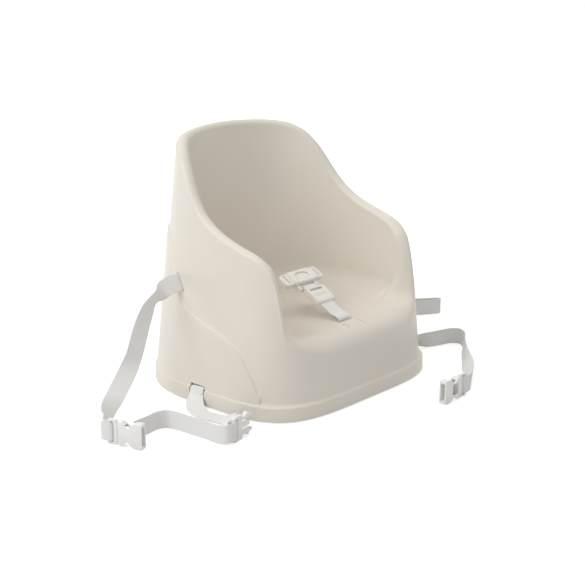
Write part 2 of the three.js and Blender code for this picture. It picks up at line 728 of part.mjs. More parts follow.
// Crotch webbing: up from the slot, over the buckle's loop bar and back under it
function crotchRoute() {
  const wrap = loop_bar_radius + fit_gap + webbing_thick / 2 + 0.15;
  const route = [0.8, 14, 30, 46, 60, loop_bar_at - 4].map((s) => [0, s, 0, 1, 0, 0]);
  [90, 60, 30, 0, -30, -60, -90].forEach((a) => {
    route.push([0, loop_bar_at + wrap * Math.cos(a * deg), wrap * (Math.sin(a * deg) - 0.95), 1, 0, 0]);
  });
  route.push([0, loop_bar_at - 4, -1.95 * wrap + 0.2, 1, 0, 0]);
  return route;
}

function crotchInnerRoute() {
  return [seat_height - 14, seat_height - 7, seat_height + 1.2]
    .map((z) => [0, crotch_slot_y, z, 1, 0, 0]);
}

// Stopper bar under the pan, with the webbing folded through its slot
function crotchAnchor() {
  const shape = new THREE.Shape(roundedRect(-21, -8, 21, 8, 3).getPoints(4));
  const half_slot = webbing_width / 2 + 0.6;
  const gap = webbing_thick / 2 + fit_gap;
  shape.holes.push(roundedRect(-half_slot, -gap, half_slot, gap, 0.5));
  const pan_underside = seat_height + pan_rise - wall;
  return plate(shape, -2, 2).translate([0, crotch_slot_y, pan_underside - fit_gap - 2]);
}

// Ladder-lock adjuster: end bars over the webbing, middle bar under it, and a
// dished face between the rails for the thumb
function adjuster() {
  const half_length = adjuster_length / 2;
  const h = adjuster_width / 2;
  const over = webbing_thick / 2 + fit_gap;
  const rail_in = webbing_width / 2 + 0.5;
  const side = new THREE.Shape();
  side.moveTo(-half_length, -1.6);
  side.quadraticCurveTo(-half_length - 0.6, over + 1.6, -half_length + 2, over + 2.6);
  side.quadraticCurveTo(0, over + 5.4, half_length - 2, over + 3.4);
  side.quadraticCurveTo(half_length + 0.6, over + 2.4, half_length, -1.6);
  side.quadraticCurveTo(0, -over - 3.6, -half_length, -1.6);
  const across = new THREE.ExtrudeGeometry(side, { depth: adjuster_width, bevelEnabled: false,
    curveSegments: 6 });
  across.translate(0, 0, -h);
  across.applyMatrix4(new THREE.Matrix4().makeBasis(
    new THREE.Vector3(0, 1, 0), new THREE.Vector3(0, 0, 1), new THREE.Vector3(1, 0, 0),
  ));
  let body = solid(across);
  body = body.subtract(block(2 * rail_in, adjuster_length + 4, 2 * over, 0, 0, 0));
  body = body.subtract(block(2 * rail_in, 5, 14, 0, half_length - 6.5, over + 7 - 0.05));
  body = body.subtract(block(2 * rail_in, half_length - 1, 8, 0, -half_length / 2 - 2, -over - 4 + 0.05));
  body = body.subtract(block(2 * rail_in, 4, 8, 0, half_length - 2, -over - 4 + 0.05));
  const dish = new THREE.CylinderGeometry(12, 12, 2 * rail_in - 1, 28).rotateZ(Math.PI / 2);
  dish.translate(0, -6, over + 14);
  return body.subtract(solid(dish));
}

// Harness buckle halves: a long rounded housing, open at both ends for the clips.
// The loop bar lies under the webbing's line by half a band, its own radius and a gap.

const loop_drop = loop_bar_radius + fit_gap + webbing_thick / 2;
const tongue_top = -fit_gap;
const tongue_low = tongue_top - tongue_thick;
const channel_floor = tongue_low - fit_gap;

function harnessOutline(inset) {
  return roundedRect(-harness_width / 2 + inset, -harness_depth / 2 + inset,
    harness_width / 2 - inset, harness_depth / 2 - inset, 4 - inset);
}

function ovalPlug(half_x, half_y, z0, z1) {
  const shape = new THREE.Shape();
  shape.absellipse(0, 0, half_x, half_y, 0, Math.PI * 2);
  return plate(shape, z0, z1, 16);
}

// The top half has an oval mouth for the button and a wider pocket for its collar
function harnessTop() {
  const half_x = button_length / 2 + fit_gap;
  const half_y = button_width / 2 + fit_gap;
  let body = plate(harnessOutline(0), fit_gap / 2, harness_half - 1, 5);
  body = body.add(plate(harnessOutline(1.1), harness_half - 1.2, harness_half, 5));
  body = body.subtract(ovalPlug(half_x, half_y, -1, harness_half + 1));
  const pocket = ovalPlug(half_x + collar_margin, half_y + collar_margin, -1, harness_half - roof_thick);
  return body.subtract(pocket);
}

// The lower half also carries the two legs and the loop bar for the crotch webbing
function harnessBottom() {
  let body = plate(harnessOutline(0), -harness_half + 1, -fit_gap / 2, 5);
  body = body.add(plate(harnessOutline(1.1), -harness_half, -harness_half + 1.2, 5));
  body = body.subtract(block(harness_width + 4, tongue_width + 2 * fit_gap, harness_half, 0, 0,
    channel_floor + harness_half / 2));
  const bar_y = loop_bar_at - buckle_at;
  const leg_x = webbing_width / 2 + 4.5;
  const leg_back = -harness_depth / 2 + 1;
  const leg_front = bar_y - loop_bar_radius;
  [-1, 1].forEach((side) => {
    body = body.add(block(5, leg_back - leg_front, harness_half - 0.4, side * leg_x,
      (leg_back + leg_front) / 2, -harness_half / 2));
  });
  const bar = new THREE.CylinderGeometry(loop_bar_radius, loop_bar_radius, 2 * leg_x, 12);
  bar.rotateZ(Math.PI / 2).translate(0, bar_y, -loop_drop);
  return body.add(solid(bar));
}

// Push button: a low oval held in by a collar under the roof of the buckle
const collar_low = harness_half - roof_thick - fit_gap - collar_thick;

function harnessButton() {
  const half_x = button_length / 2;
  const half_y = button_width / 2;
  const top = harness_half - button_recess;
  const cap = ovalPlug(half_x, half_y, collar_low, top - 0.5);
  const crown = ovalPlug(half_x - 0.7, half_y - 0.7, top - 0.6, top);
  const collar = ovalPlug(half_x + collar_margin, half_y + collar_margin, collar_low,
    collar_low + collar_thick);
  return cap.add(crown).add(collar);
}

// Button spring: an open coil between the floor of the buckle and the button
const spring_turns = 3;
const spring_radius = 2.6;
const spring_wire = 0.6;
const spring_low = channel_floor + 0.2;
const spring_high = collar_low - 0.2;

function buttonSpring() {
  class Coil extends THREE.Curve {
    getPoint(t, target = new THREE.Vector3()) {
      const a = t * spring_turns * Math.PI * 2;
      const rise = mix(spring_low + spring_wire / 2, spring_high - spring_wire / 2, t);
      return target.set(spring_radius * Math.cos(a), spring_radius * Math.sin(a), rise);
    }
  }
  const section = new THREE.Shape();
  section.absarc(0, 0, spring_wire / 2, 0, Math.PI * 2);
  return solid(new THREE.ExtrudeGeometry(section, {
    steps: spring_turns * 10, extrudePath: new Coil(), bevelEnabled: false, curveSegments: 3,
  }));
}

// Side clip of the harness: a latch tongue inside the housing and a tapered head
// with a slot for waist webbing outside it; side is -1 for left and 1 for right
function harnessClip(side) {
  const mouth = harness_width / 2;
  const head = new THREE.Shape();
  const half = harness_depth / 2 - 0.4;
  head.moveTo(mouth + fit_gap, -half + 1.5);
  head.quadraticCurveTo(mouth + 8, -half - 0.4, mouth + clip_head - 3, -half + 1.5);
  head.quadraticCurveTo(mouth + clip_head, -half + 2, mouth + clip_head, -half + 5);
  head.lineTo(mouth + clip_head, half - 5);
  head.quadraticCurveTo(mouth + clip_head, half - 2, mouth + clip_head - 3, half - 1.5);
  head.quadraticCurveTo(mouth + 8, half + 0.4, mouth + fit_gap, half - 1.5);
  const slot_x = mouth + clip_head - 10;
  head.holes.push(roundedRect(slot_x, -half + 3, slot_x + 3, half - 3, 1));
  let body = plate(head, -harness_half + 1.2, harness_half - 1.2, 5);
  // The head thins towards its webbing slot on the top face
  const slope = new THREE.BoxGeometry(clip_head + 6, harness_depth + 4, 6);
  slope.rotateY(9 * deg);
  slope.translate(mouth + clip_head / 2 + 3, 0, harness_half + 1.6);
  body = body.subtract(solid(slope));
  const tongue = new THREE.Shape();
  const inner = mouth - tongue_reach;
  const w = tongue_width / 2;
  tongue.moveTo(mouth + 2, -w);
  tongue.lineTo(mouth + 2, w);
  tongue.lineTo(inner + 5, w);
  tongue.quadraticCurveTo(inner, w, inner, w - 3);
  tongue.lineTo(inner, -w + 3);
  tongue.quadraticCurveTo(inner, -w, inner + 5, -w);
  tongue.holes.push(roundedRect(inner + 3, -2.6, inner + 8, 2.6, 1));
  body = body.add(plate(tongue, tongue_low, tongue_top));
  return side > 0 ? body : body.mirror([1, 0, 0]);
}

// Assembly

const booster = new THREE.Group();
booster.name = 'chair_booster_seat';

function place(name, geometry, material, matrix) {
  if (matrix) {
    geometry.applyMatrix4(matrix);
  }
  const mesh = new THREE.Mesh(geometry, material);
  mesh.name = name;
  booster.add(mesh);
}

place('seat_shell', geometryOf(seatShell()), shell_plastic);

[['left', -1], ['right', 1]].forEach(([sideName, side]) => {
  [['front', post_front_y], ['back', post_back_y]].forEach(([endName, y]) => {
    const mesh = new THREE.Mesh(geometryOf(foot()), foot_rubber);
    mesh.name = `foot_${endName}_${sideName}`;
    mesh.position.set(side * post_x, y, 0);
    booster.add(mesh);
  });
});

place('upper_strap_inner', band(upperInnerRoute(), 44), webbing);
place('lower_strap_inner', band(lowerInnerRoute(), 8), webbing);
place('upper_strap_left', band(upper_left_route, 70), webbing);
place('upper_strap_right', band(upper_right_route, 84), webbing);
place('lower_strap_left', band(lower_left_route, 100), webbing);
place('lower_strap_right', band(lower_right_route, 84), webbing);

place('strap_receiver_left', geometryOf(receiver()), buckle_plastic, receiver_left_place);
place('strap_receiver_right', geometryOf(receiver()), buckle_plastic, receiver_right_place);
place('strap_clip_left', geometryOf(sideClip()), buckle_plastic, clip_left_place);
place('strap_clip_right', geometryOf(sideClip()), buckle_plastic, clip_right_place);

const buckle_frame = harness_frame.clone().multiply(new THREE.Matrix4().makeTranslation(0, buckle_at, 0));
const adjuster_frame = harness_frame.clone()
  .multiply(new THREE.Matrix4().makeTranslation(0, adjuster_at, 0));

place('crotch_strap', band(crotchRoute(), 40), webbing, harness_frame);
place('crotch_strap_inner', band(crotchInnerRoute(), 6), webbing);
place('crotch_anchor', geometryOf(crotchAnchor()), harness_plastic);
place('crotch_adjuster', geometryOf(adjuster()), harness_plastic, adjuster_frame);
place('harness_buckle_top', geometryOf(harnessTop()), harness_plastic, buckle_frame);
place('harness_buckle_bottom', geometryOf(harnessBottom()), harness_plastic, buckle_frame);
place('harness_button', geometryOf(harnessButton()), harness_plastic, buckle_frame);
place('harness_spring', geometryOf(buttonSpring()), spring_steel, buckle_frame);
place('harness_clip_left', geometryOf(harnessClip(-1)), harness_plastic, buckle_frame);
place('harness_clip_right', geometryOf(harnessClip(1)), harness_plastic, buckle_frame);

export default booster;
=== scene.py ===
# %% [markdown]
# A chair booster seat, dressed in Blender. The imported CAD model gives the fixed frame:
# every piece below sits in the same metres, on the same body, as the CAD solid that it
# replaces. The tub, the webbing, the feet and the spring are built again with fine
# meshes, and the buckles are copied from their solids and given moulded edges.

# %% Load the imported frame
import json
import math
import bpy
import numpy as np
from mathutils import Matrix, Vector

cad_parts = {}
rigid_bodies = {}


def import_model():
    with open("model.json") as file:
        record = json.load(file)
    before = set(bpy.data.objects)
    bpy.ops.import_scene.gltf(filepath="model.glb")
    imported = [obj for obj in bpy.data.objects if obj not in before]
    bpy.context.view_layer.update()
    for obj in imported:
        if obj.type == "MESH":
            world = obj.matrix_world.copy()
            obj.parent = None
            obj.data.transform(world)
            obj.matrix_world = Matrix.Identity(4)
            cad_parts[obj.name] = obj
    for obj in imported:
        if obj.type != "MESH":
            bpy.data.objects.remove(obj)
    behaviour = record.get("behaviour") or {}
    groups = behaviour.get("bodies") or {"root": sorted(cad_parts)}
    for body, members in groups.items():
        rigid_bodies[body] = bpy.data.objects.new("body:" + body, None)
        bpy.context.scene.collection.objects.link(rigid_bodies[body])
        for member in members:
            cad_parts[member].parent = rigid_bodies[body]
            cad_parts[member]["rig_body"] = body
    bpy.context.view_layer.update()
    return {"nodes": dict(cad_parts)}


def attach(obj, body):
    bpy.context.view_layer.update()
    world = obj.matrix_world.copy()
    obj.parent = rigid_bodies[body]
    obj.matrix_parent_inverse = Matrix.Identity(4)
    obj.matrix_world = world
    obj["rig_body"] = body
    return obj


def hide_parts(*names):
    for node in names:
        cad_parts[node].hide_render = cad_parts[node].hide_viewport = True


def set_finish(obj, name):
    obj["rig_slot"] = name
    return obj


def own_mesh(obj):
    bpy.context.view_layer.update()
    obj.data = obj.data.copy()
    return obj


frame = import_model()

# %% [markdown]
# The product picture was taken from the sitter's left hand side, a little above the
# rim, with a long lens. A camera can be placed by eye or worked out from known points;
# here its angle and distance come from the base, the rim and the slots, and a small
# shift frames the seat right of the middle as the picture does.

# %% The camera
def new_object(name, data):
    made = bpy.data.objects.new(name, data)
    bpy.context.scene.collection.objects.link(made)
    return made


camera_aim = Vector((0, 0.0096, 0.150))
camera_distance = 1.8
turn, rise = math.radians(-46.75), math.radians(15.64)
camera_back = Vector((math.sin(turn) * math.cos(rise), -math.cos(turn) * math.cos(rise),
                      math.sin(rise)))

camera_data = bpy.data.cameras.new("camera")
camera_data.lens = 76.9
camera_data.sensor_width = 36
camera_data.shift_x = 0.0228
camera_data.shift_y = -0.0382
camera = new_object("camera", camera_data)
camera.location = camera_aim + camera_back * camera_distance
camera.rotation_euler = (-camera_back).to_track_quat("-Z", "Y").to_euler()
bpy.context.scene.camera = camera
print("camera at", [round(x, 3) for x in camera.location])

# %% [markdown]
# Every operator in Blender acts on what is selected, so a few helpers pick one object
# at a time, turn its faces outwards and shade its soft turns smooth while its real
# edges stay crisp.

# %% Helpers for one object at a time
# Turns below these angles, in degrees, are shaded smooth.
webbing_smooth, tub_smooth, foot_smooth, moulding_smooth, wire_smooth = 50, 32, 40, 35, 50


def only(piece):
    """Selects one object and nothing else."""
    bpy.ops.object.select_all(action="DESELECT")
    piece.select_set(True)
    bpy.context.view_layer.objects.active = piece


def edit_all(piece):
    """Goes into edit mode with the whole mesh selected."""
    only(piece)
    bpy.ops.object.mode_set(mode="EDIT")
    bpy.ops.mesh.select_all(action="SELECT")


def clean_normals(piece, merge=0.00001):
    """Merges doubles and points every face outwards."""
    edit_all(piece)
    bpy.ops.mesh.remove_doubles(threshold=merge)
    bpy.ops.mesh.normals_make_consistent(inside=False)
    bpy.ops.object.mode_set(mode="OBJECT")


def smooth_by_angle(piece, degrees):
    only(piece)
    bpy.ops.object.shade_smooth_by_angle(angle=math.radians(degrees))


def stand_for(piece, body, solid, slot):
    """Puts a finished piece on its body, in the place of its CAD solid."""
    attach(piece, body)
    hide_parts(solid)
    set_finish(piece, slot)

# %% [markdown]
# Webbing is a flat woven band. A curve with a flat bevel could draw it, but a band that
# twists needs its own width direction at each point, so it is lofted: a smooth line
# runs through listed points, a second one carries the direction across the band,
# and a thin rounded section is set at each step along them.

# %% A smooth line through listed points
def spline_piece(before, start, end, after, spans):
    """Four coefficients of one curve piece, from its ends and their neighbours."""
    if spans is None:
        slope_in, slope_out = 0.3 * (end - before), 0.3 * (after - start)
    else:
        a, b, c = spans
        slope_in = ((start - before) / a - (end - before) / (a + b) + (end - start) / b) * b
        slope_out = ((end - start) / b - (after - start) / (b + c) + (after - end) / c) * b
    return (start, slope_in, -3 * start + 3 * end - 2 * slope_in - slope_out,
            2 * start - 2 * end + slope_in + slope_out)


def run_line(points, even_speed, steps):
    """Points along the line, with steps[i] of them in piece i."""
    found = []
    for i, count in enumerate(steps):
        start, end = points[i], points[i + 1]
        before = points[i - 1] if i else 2 * start - end
        after = points[i + 2] if i + 2 < len(points) else 2 * end - start
        spans = None
        if even_speed:
            spans = [math.sqrt(np.linalg.norm(q - p))
                     for p, q in ((before, start), (start, end), (end, after))]
        c0, c1, c2, c3 = spline_piece(before, start, end, after, spans)
        for k in range(count):
            t = k / count
            found.append(c0 + c1 * t + c2 * t * t + c3 * t ** 3)
    found.append(points[-1])
    return np.array(found)


# %% A band of webbing along a route
webbing_width, webbing_thick = 0.025, 0.0014
band_step = 0.003
far_from_tack = 1.0


def band_section():
    """Half section as (across, height) from one selvedge to the other, in metres."""
    half, thick = webbing_width / 2, webbing_thick / 2
    right = [(0.3, 0.82), (0.6, 0.8), (0.86, 0.84), (0.95, 1.0), (0.985, 0.75), (1, 0.0)]
    places = [(-u, v) for u, v in reversed(right)] + [(0, 0.82)] + right
    return [(u * half, v * thick) for u, v in places]


def webbing_band(name, route, tacks=(), matrix=None):
    """A closed band along route, its rows of stitches at tacks metres from its ends."""
    route = np.array(route, float)
    if matrix is not None:
        turned, moved = np.array(matrix)[:3, :3], np.array(matrix)[:3, 3]
        route = np.hstack([route[:, :3] @ turned.T + moved, route[:, 3:] @ turned.T])
    gaps = np.linalg.norm(np.diff(route[:, :3], axis=0), axis=1)
    steps = [max(3, math.ceil(g / band_step)) for g in gaps]
    middle = run_line(route[:, :3], True, steps)
    across = run_line(route[:, 3:], False, steps)
    along = np.gradient(middle, axis=0)
    along /= np.linalg.norm(along, axis=1)[:, None]
    across -= along * np.sum(across * along, axis=1)[:, None]
    across /= np.linalg.norm(across, axis=1)[:, None]
    normal = np.cross(along, across)
    strides = np.linalg.norm(np.diff(middle, axis=0), axis=1)
    travelled = np.concatenate([[0], np.cumsum(strides)])
    section = band_section()
    ring = section + [(u, -v) for u, v in section[-2:0:-1]]
    points, count = [], len(ring)
    for p, w, n in zip(middle, across, normal):
        points += [p + w * u + n * v for u, v in ring]
    faces = []
    for r in range(len(middle) - 1):
        for i in range(count):
            j = (i + 1) % count
            a, b = r * count + i, r * count + j
            faces.append((a, b, b + count, a + count))
    faces.append(tuple(range(count - 1, -1, -1)))
    faces.append(tuple(range((len(middle) - 1) * count, len(middle) * count)))
    mesh = bpy.data.meshes.new(name)
    mesh.from_pydata([tuple(p) for p in points], [], faces)
    uv = mesh.uv_layers.new(name="weave")
    for loop in mesh.loops:
        r, i = divmod(loop.vertex_index, count)
        uv.data[loop.index].uv = (ring[i][0], travelled[r])
    tack = mesh.attributes.new("tack", "FLOAT", "POINT")
    length = travelled[-1]
    centres = [t if t > 0 else length + t for t in tacks]
    for index in range(len(points)):
        s = travelled[index // count]
        nearest = min(centres, key=lambda c: abs(c - s), default=None)
        tack.data[index].value = far_from_tack if nearest is None else s - nearest
    piece = new_object(name, mesh)
    clean_normals(piece)
    smooth_by_angle(piece, webbing_smooth)
    print(name, "webbing", round(length, 3), "m")
    return piece, [list(p) for p in middle], float(length)

# %% [markdown]
# Each strap end is threaded through the slotted end of a buckle: the band comes in over
# one face of the end bar, turns round it and comes back under the other face. The same
# few points do this for every buckle, moved to where that buckle lies.

# %% Where the buckles lie, and the turn of webbing round an end bar
buckle_width, floor_gap = 0.033, 0.0006
buckle_lift = buckle_width / 2 + floor_gap
bar_depth, ladder_slot, ladder_thick, bar_clearance = 0.004, 0.0052, 0.005, 0.0012


def placement(x, y, z, degrees):
    """A buckle on its edge, its bar at the origin and its long way turned by degrees."""
    return (Matrix.Translation((x, y, z)) @ Matrix.Rotation(math.radians(degrees), 4, "Z")
            @ Matrix.Rotation(math.pi / 2, 4, "X"))


receiver_left_place = placement(-0.346, -0.021, buckle_lift, -71.5)
clip_left_place = placement(-0.240, -0.136, buckle_lift, 12)
receiver_right_place = placement(0.0985, -0.2505, buckle_lift, 180)
clip_right_place = placement(0.297, 0.092, buckle_lift, 62)


def bar_wrap(place, face):
    """Route points round an end bar, first over the given face of it."""
    clear = ladder_thick / 2 + bar_clearance
    slot_middle = bar_depth + ladder_slot / 2
    over = [(-0.009, clear * 0.75), (-0.002, clear), (0.003, clear),
            (slot_middle - 0.0002, clear * 0.62)]
    local = over + [(slot_middle, 0)] + [(x, -z) for x, z in reversed(over)]
    return [(*(place @ Vector((x, 0, z * face))), 0, 0, 1) for x, z in local]


# %% The routes of the four free straps
slot_lean = math.radians(35)
lean_y, lean_z = math.sin(slot_lean), math.cos(slot_lean)
upper_start, upper_y, upper_z = 0.1571, 0.046, 0.159
lower_start, lower_y, lower_z = 0.174, -0.005, 0.0245
lower_exit = [
    (lower_start, lower_y, lower_z, 0, -1, 0.12), (0.1756, lower_y, 0.0244, 0, -1, 0.12),
    (0.1784, lower_y, 0.022, 0, -1, 0.08), (0.1792, lower_y, 0.018, 0, -1, 0),
    (0.1812, -0.0056, 0.0132, -0.05, -1, 0.02), (0.19, -0.012, 0.0072, -0.667, -0.667, 0.333),
    (0.198, -0.025, 0.0028, -1, -0.15, 0.06),
]

upper_left_route = [
    (-upper_start, upper_y, upper_z, 0, lean_y, lean_z),
    (-0.176, upper_y, upper_z - 0.0005, 0, lean_y, lean_z),
    (-0.187, 0.045, 0.156, -0.28, 0.53, 0.8),
    (-0.196, 0.044, 0.1528, -0.39, 0.15, 0.91), (-0.205, 0.043, 0.1486, -0.41, -0.38, 0.83),
    (-0.214, 0.0418, 0.143, -0.57, -0.27, 0.78), (-0.223, 0.0405, 0.1345, -0.78, -0.03, 0.62),
    (-0.233, 0.0395, 0.119, -0.87, 0.15, 0.48), (-0.243, 0.038, 0.099, -0.87, 0.26, 0.42),
    (-0.254, 0.036, 0.077, -0.82, 0.32, 0.48), (-0.27, 0.034, 0.056, -0.62, 0.64, 0.46),
    (-0.289, 0.0315, 0.036, -0.55, 0.71, 0.44), (-0.305, 0.028, 0.022, -0.42, 0.45, 0.79),
    (-0.32, 0.018, 0.0145, -0.22, 0.25, 0.94), (-0.331, 0.005, 0.0145, -0.05, 0.05, 1),
    *bar_wrap(receiver_left_place, -1),
]
lower_left_route = [
    *((-x, y, z, -u, v, w) for x, y, z, u, v, w in lower_exit),
    (-0.202, -0.04, 0.0019, 1, -0.05, 0), (-0.201, -0.055, 0.0019, 1, 0, 0),
    (-0.199, -0.072, 0.003, 1, 0, 0.06),
    (-0.199, -0.088, 0.0074, 0.92, 0.05, 0.38), (-0.207, -0.104, 0.0122, 0.6, 0.1, 0.8),
    (-0.22, -0.119, 0.0145, 0.15, 0.05, 1), (-0.234, -0.128, 0.0166, 0, 0, 1),
    (-0.244, -0.1315, 0.0171, 0, 0, 1), *bar_wrap(clip_left_place, -1)[1:],
    (-0.253, -0.138, 0.0162, 0, 0, 1), (-0.256, -0.126, 0.0145, 0, 0, 1),
    (-0.256, -0.104, 0.0137, 0, 0, 1), (-0.258, -0.078, 0.0135, 0.03, 0, 1),
    (-0.261, -0.052, 0.0135, 0.05, 0, 1), (-0.265, -0.04, 0.0135, 0.05, 0, 1),
    (-0.276, -0.035, 0.0135, 0, 0.03, 1), (-0.296, -0.037, 0.0135, 0, 0.03, 1),
    (-0.318, -0.038, 0.0136, 0, 0, 1),
]
lower_right_route = [
    *lower_exit, (0.202, -0.042, 0.0027, -1, -0.02, 0.04),
    (0.205, -0.062, 0.0056, -0.95, 0.05, 0.25), (0.212, -0.082, 0.012, -0.6, 0, 0.8),
    (0.226, -0.096, 0.0134, -0.15, 0, 1), (0.244, -0.103, 0.0136, 0, 0, 1),
    (0.262, -0.109, 0.0136, 0, 0, 1), (0.27, -0.12, 0.0136, 0, 0, 1),
    (0.262, -0.134, 0.0136, 0.06, -0.04, 1), (0.238, -0.151, 0.0134, 0.12, -0.1, 0.98),
    (0.206, -0.176, 0.0126, 0.22, -0.18, 0.96), (0.174, -0.203, 0.0124, 0.45, -0.4, 0.8),
    (0.145, -0.228, 0.0134, 0.3, -0.28, 0.91), (0.125, -0.244, 0.0155, 0.05, -0.1, 1),
    *bar_wrap(receiver_right_place, -1),
]
upper_right_route = [
    (upper_start, upper_y, upper_z, 0, lean_y, lean_z),
    (0.176, upper_y, upper_z - 0.0005, 0, lean_y, lean_z), (0.19, 0.048, 0.154, 0.3, 0.3, 0.9),
    (0.206, 0.053, 0.143, 0.6, 0.6, 0.5), (0.22, 0.059, 0.127, 0.6, 0.8, 0.1),
    (0.233, 0.065, 0.107, 0.5, 0.85, -0.1), (0.246, 0.071, 0.084, 0.45, 0.88, -0.15),
    (0.259, 0.076, 0.06, 0.5, 0.85, -0.1), (0.272, 0.079, 0.038, 0.55, 0.8, 0.1),
    (0.283, 0.08, 0.024, 0.4, 0.5, 0.7), (0.29, 0.082, 0.018, 0.1, 0.1, 0.98),
    *bar_wrap(clip_right_place, 1)[1:], (0.301, 0.076, 0.015, 0, 0, 1),
    (0.312, 0.06, 0.0137, 0, 0, 1), (0.326, 0.036, 0.0135, 0, 0, 1),
    (0.344, 0.016, 0.0135, 0, 0, 1), (0.366, 0.002, 0.0135, 0, 0, 1),
    (0.378, -0.0035, 0.0135, 0, 0, 1), (0.3825, -0.0015, 0.0135, 0, 0, 1),
    (0.381, 0.003, 0.0136, 0, 0, 1), (0.368, 0.012, 0.0138, 0, 0, 1),
    (0.35, 0.026, 0.014, 0, 0, 1), (0.34, 0.04, 0.014, 0, 0, 1),
]

# %% The four free straps
receiver_tack = -0.030
free_straps = {}
for strap, route, tacks in (("upper_strap_left", upper_left_route, (receiver_tack,)),
                            ("lower_strap_left", lower_left_route, ()),
                            ("lower_strap_right", lower_right_route, (receiver_tack,)),
                            ("upper_strap_right", upper_right_route, ())):
    free_straps[strap] = webbing_band(strap + "_webbing", route, tacks)
    stand_for(free_straps[strap][0], "seat", strap, "webbing")

# %% [markdown]
# Inside the hollow wall the upper strap runs round the back from slot to slot, and the
# lower one crosses under the pan. They are seen only from below, but the strap that
# holds the seat to a chair is one long piece, so both runs are woven too.

# %% The tub's outline, which the straps and the walls share
base_half_width = 0.180
front_reach, back_reach = 0.1745, 0.1535
front_squareness, back_squareness = 4.2, 2.5
wall = 0.003
flange_height, flange_step = 0.022, 0.005
shell_lift = 0.0015
seat_height, seat_fillet = 0.101, 0.035
rim_width, lip_roll, lip_roll_drop = 0.017, 0.030, 0.024
side_draft, front_draft, back_draft, bowl_draft = 0.105, 0.05, 0.075, 0.08
panel_proud = 0.0025
outline_centre_y = (front_reach - back_reach) / 2


def outline_point(degrees, side, z, inset):
    """A point of the tub's outline, shrunk evenly by the draft at height z."""
    c, s = math.cos(math.radians(degrees)), math.sin(math.radians(degrees))
    power = front_squareness if s < 0 else back_squareness
    climb = max(0.0, z - flange_height)
    half = base_half_width - inset - side_draft * climb
    reach, draft = (front_reach, front_draft) if s < 0 else (back_reach, back_draft)
    reach = reach - draft * climb - inset
    r = (abs(c) ** power + abs(s) ** power) ** (-1 / power)
    return side * half * c * r, outline_centre_y + reach * s * r


# %% The inner runs of both straps
inner_overlap, inner_clearance = 0.0006, 0.009


def upper_inner_route():
    """From the left slot round the hollow back to the right one."""
    ends = [(upper_start - inner_overlap, 0, 1), (0.1531, 0, 1), (0.1471, 0.003, 0.8),
            (0.1421, 0.009, 0.5)]
    right = [(x, upper_y + back, upper_z, 0, lean_y * lean, lean_z) for x, back, lean in ends]
    round_back = []
    for degrees in range(32, 149, 8):
        side, half = (-1, degrees) if degrees <= 90 else (1, 180 - degrees)
        x, y = outline_point(half, side, upper_z, flange_step + inner_clearance)
        round_back.append((x, y, upper_z, 0, 0, 1))
    return [(-x, *rest) for x, *rest in right] + round_back + right[::-1]


start = lower_start - inner_overlap
lower_inner_route = [(start * t, lower_y, lower_z, 0, 1, 0 if abs(t) < 0.8 else -0.12)
                     for t in (-1, -0.9, -0.6, 0, 0.6, 0.9, 1)]
for strap, route in (("upper_strap_inner", upper_inner_route()),
                     ("lower_strap_inner", lower_inner_route)):
    stand_for(webbing_band(strap + "_webbing", route)[0], "seat", strap, "webbing")

# %% [markdown]
# The crotch webbing comes up through its slot in the pan, leans back over the seat and
# turns round the loop bar of the buckle, where a short end is sewn back on itself. It
# moves with the harness, and its inner run hangs from the slot with the stopper bar.

# %% The crotch webbing
crotch_y, harness_base, harness_lean = -0.115, 0.103, math.radians(27.9)
harness_frame = (Matrix.Translation((0, crotch_y, harness_base))
                 @ Matrix.Rotation(harness_lean, 4, "X"))
loop_bar_at, loop_bar_radius, loop_bar_play, fold_room = 0.075, 0.002, 0.0003, 0.00015
wrap_radius = loop_bar_radius + loop_bar_play + webbing_thick / 2 + fold_room
wrap_drop, fold_end, crotch_tack = 0.95, loop_bar_at - 0.004, 0.066
strap_bulge = [(0.0005, -0.00035), (0.0022, 0.0016), (0.0048, 0.0025), (0.0082, 0.0022),
               (0.0115, 0.0011), (0.015, 0.0001), (0.019, 0)]
crotch_route = [(0, s, h, 1, 0, 0) for s, h in strap_bulge]
crotch_route += [(0, s, 0, 1, 0, 0) for s in (0.030, 0.046, 0.060, fold_end)]
for degrees in range(90, -91, -30):
    a = math.radians(degrees)
    crotch_route.append((0, loop_bar_at + wrap_radius * math.cos(a),
                         wrap_radius * (math.sin(a) - wrap_drop), 1, 0, 0))
crotch_route.append((0, fold_end, -1.95 * wrap_radius + 0.0002, 1, 0, 0))
crotch_inner_route = [(0, crotch_y, seat_height + dz, 1, 0, 0) for dz in (-0.014, -0.007, 0.0012)]

crotch_webbing = webbing_band("crotch_webbing", crotch_route, (crotch_tack,), harness_frame)[0]
stand_for(crotch_webbing, "harness", "crotch_strap", "webbing")
crotch_inner = webbing_band("crotch_inner_webbing", crotch_inner_route)[0]
stand_for(crotch_inner, "seat", "crotch_strap_inner", "webbing")

# %% [markdown]
# The tub is one moulding: a skirt with a bead at its foot, a high double wall rolled
# over at the rim, and the bowl inside. Its rim falls from the back round two arms to the
# low front edge, so no single primitive, spin or bevel gives it. It is lofted: each
# column round the outline has its own profile, worked out from a few named sizes, and
# the rows of all columns are joined into one closed skin with a hollow inside.

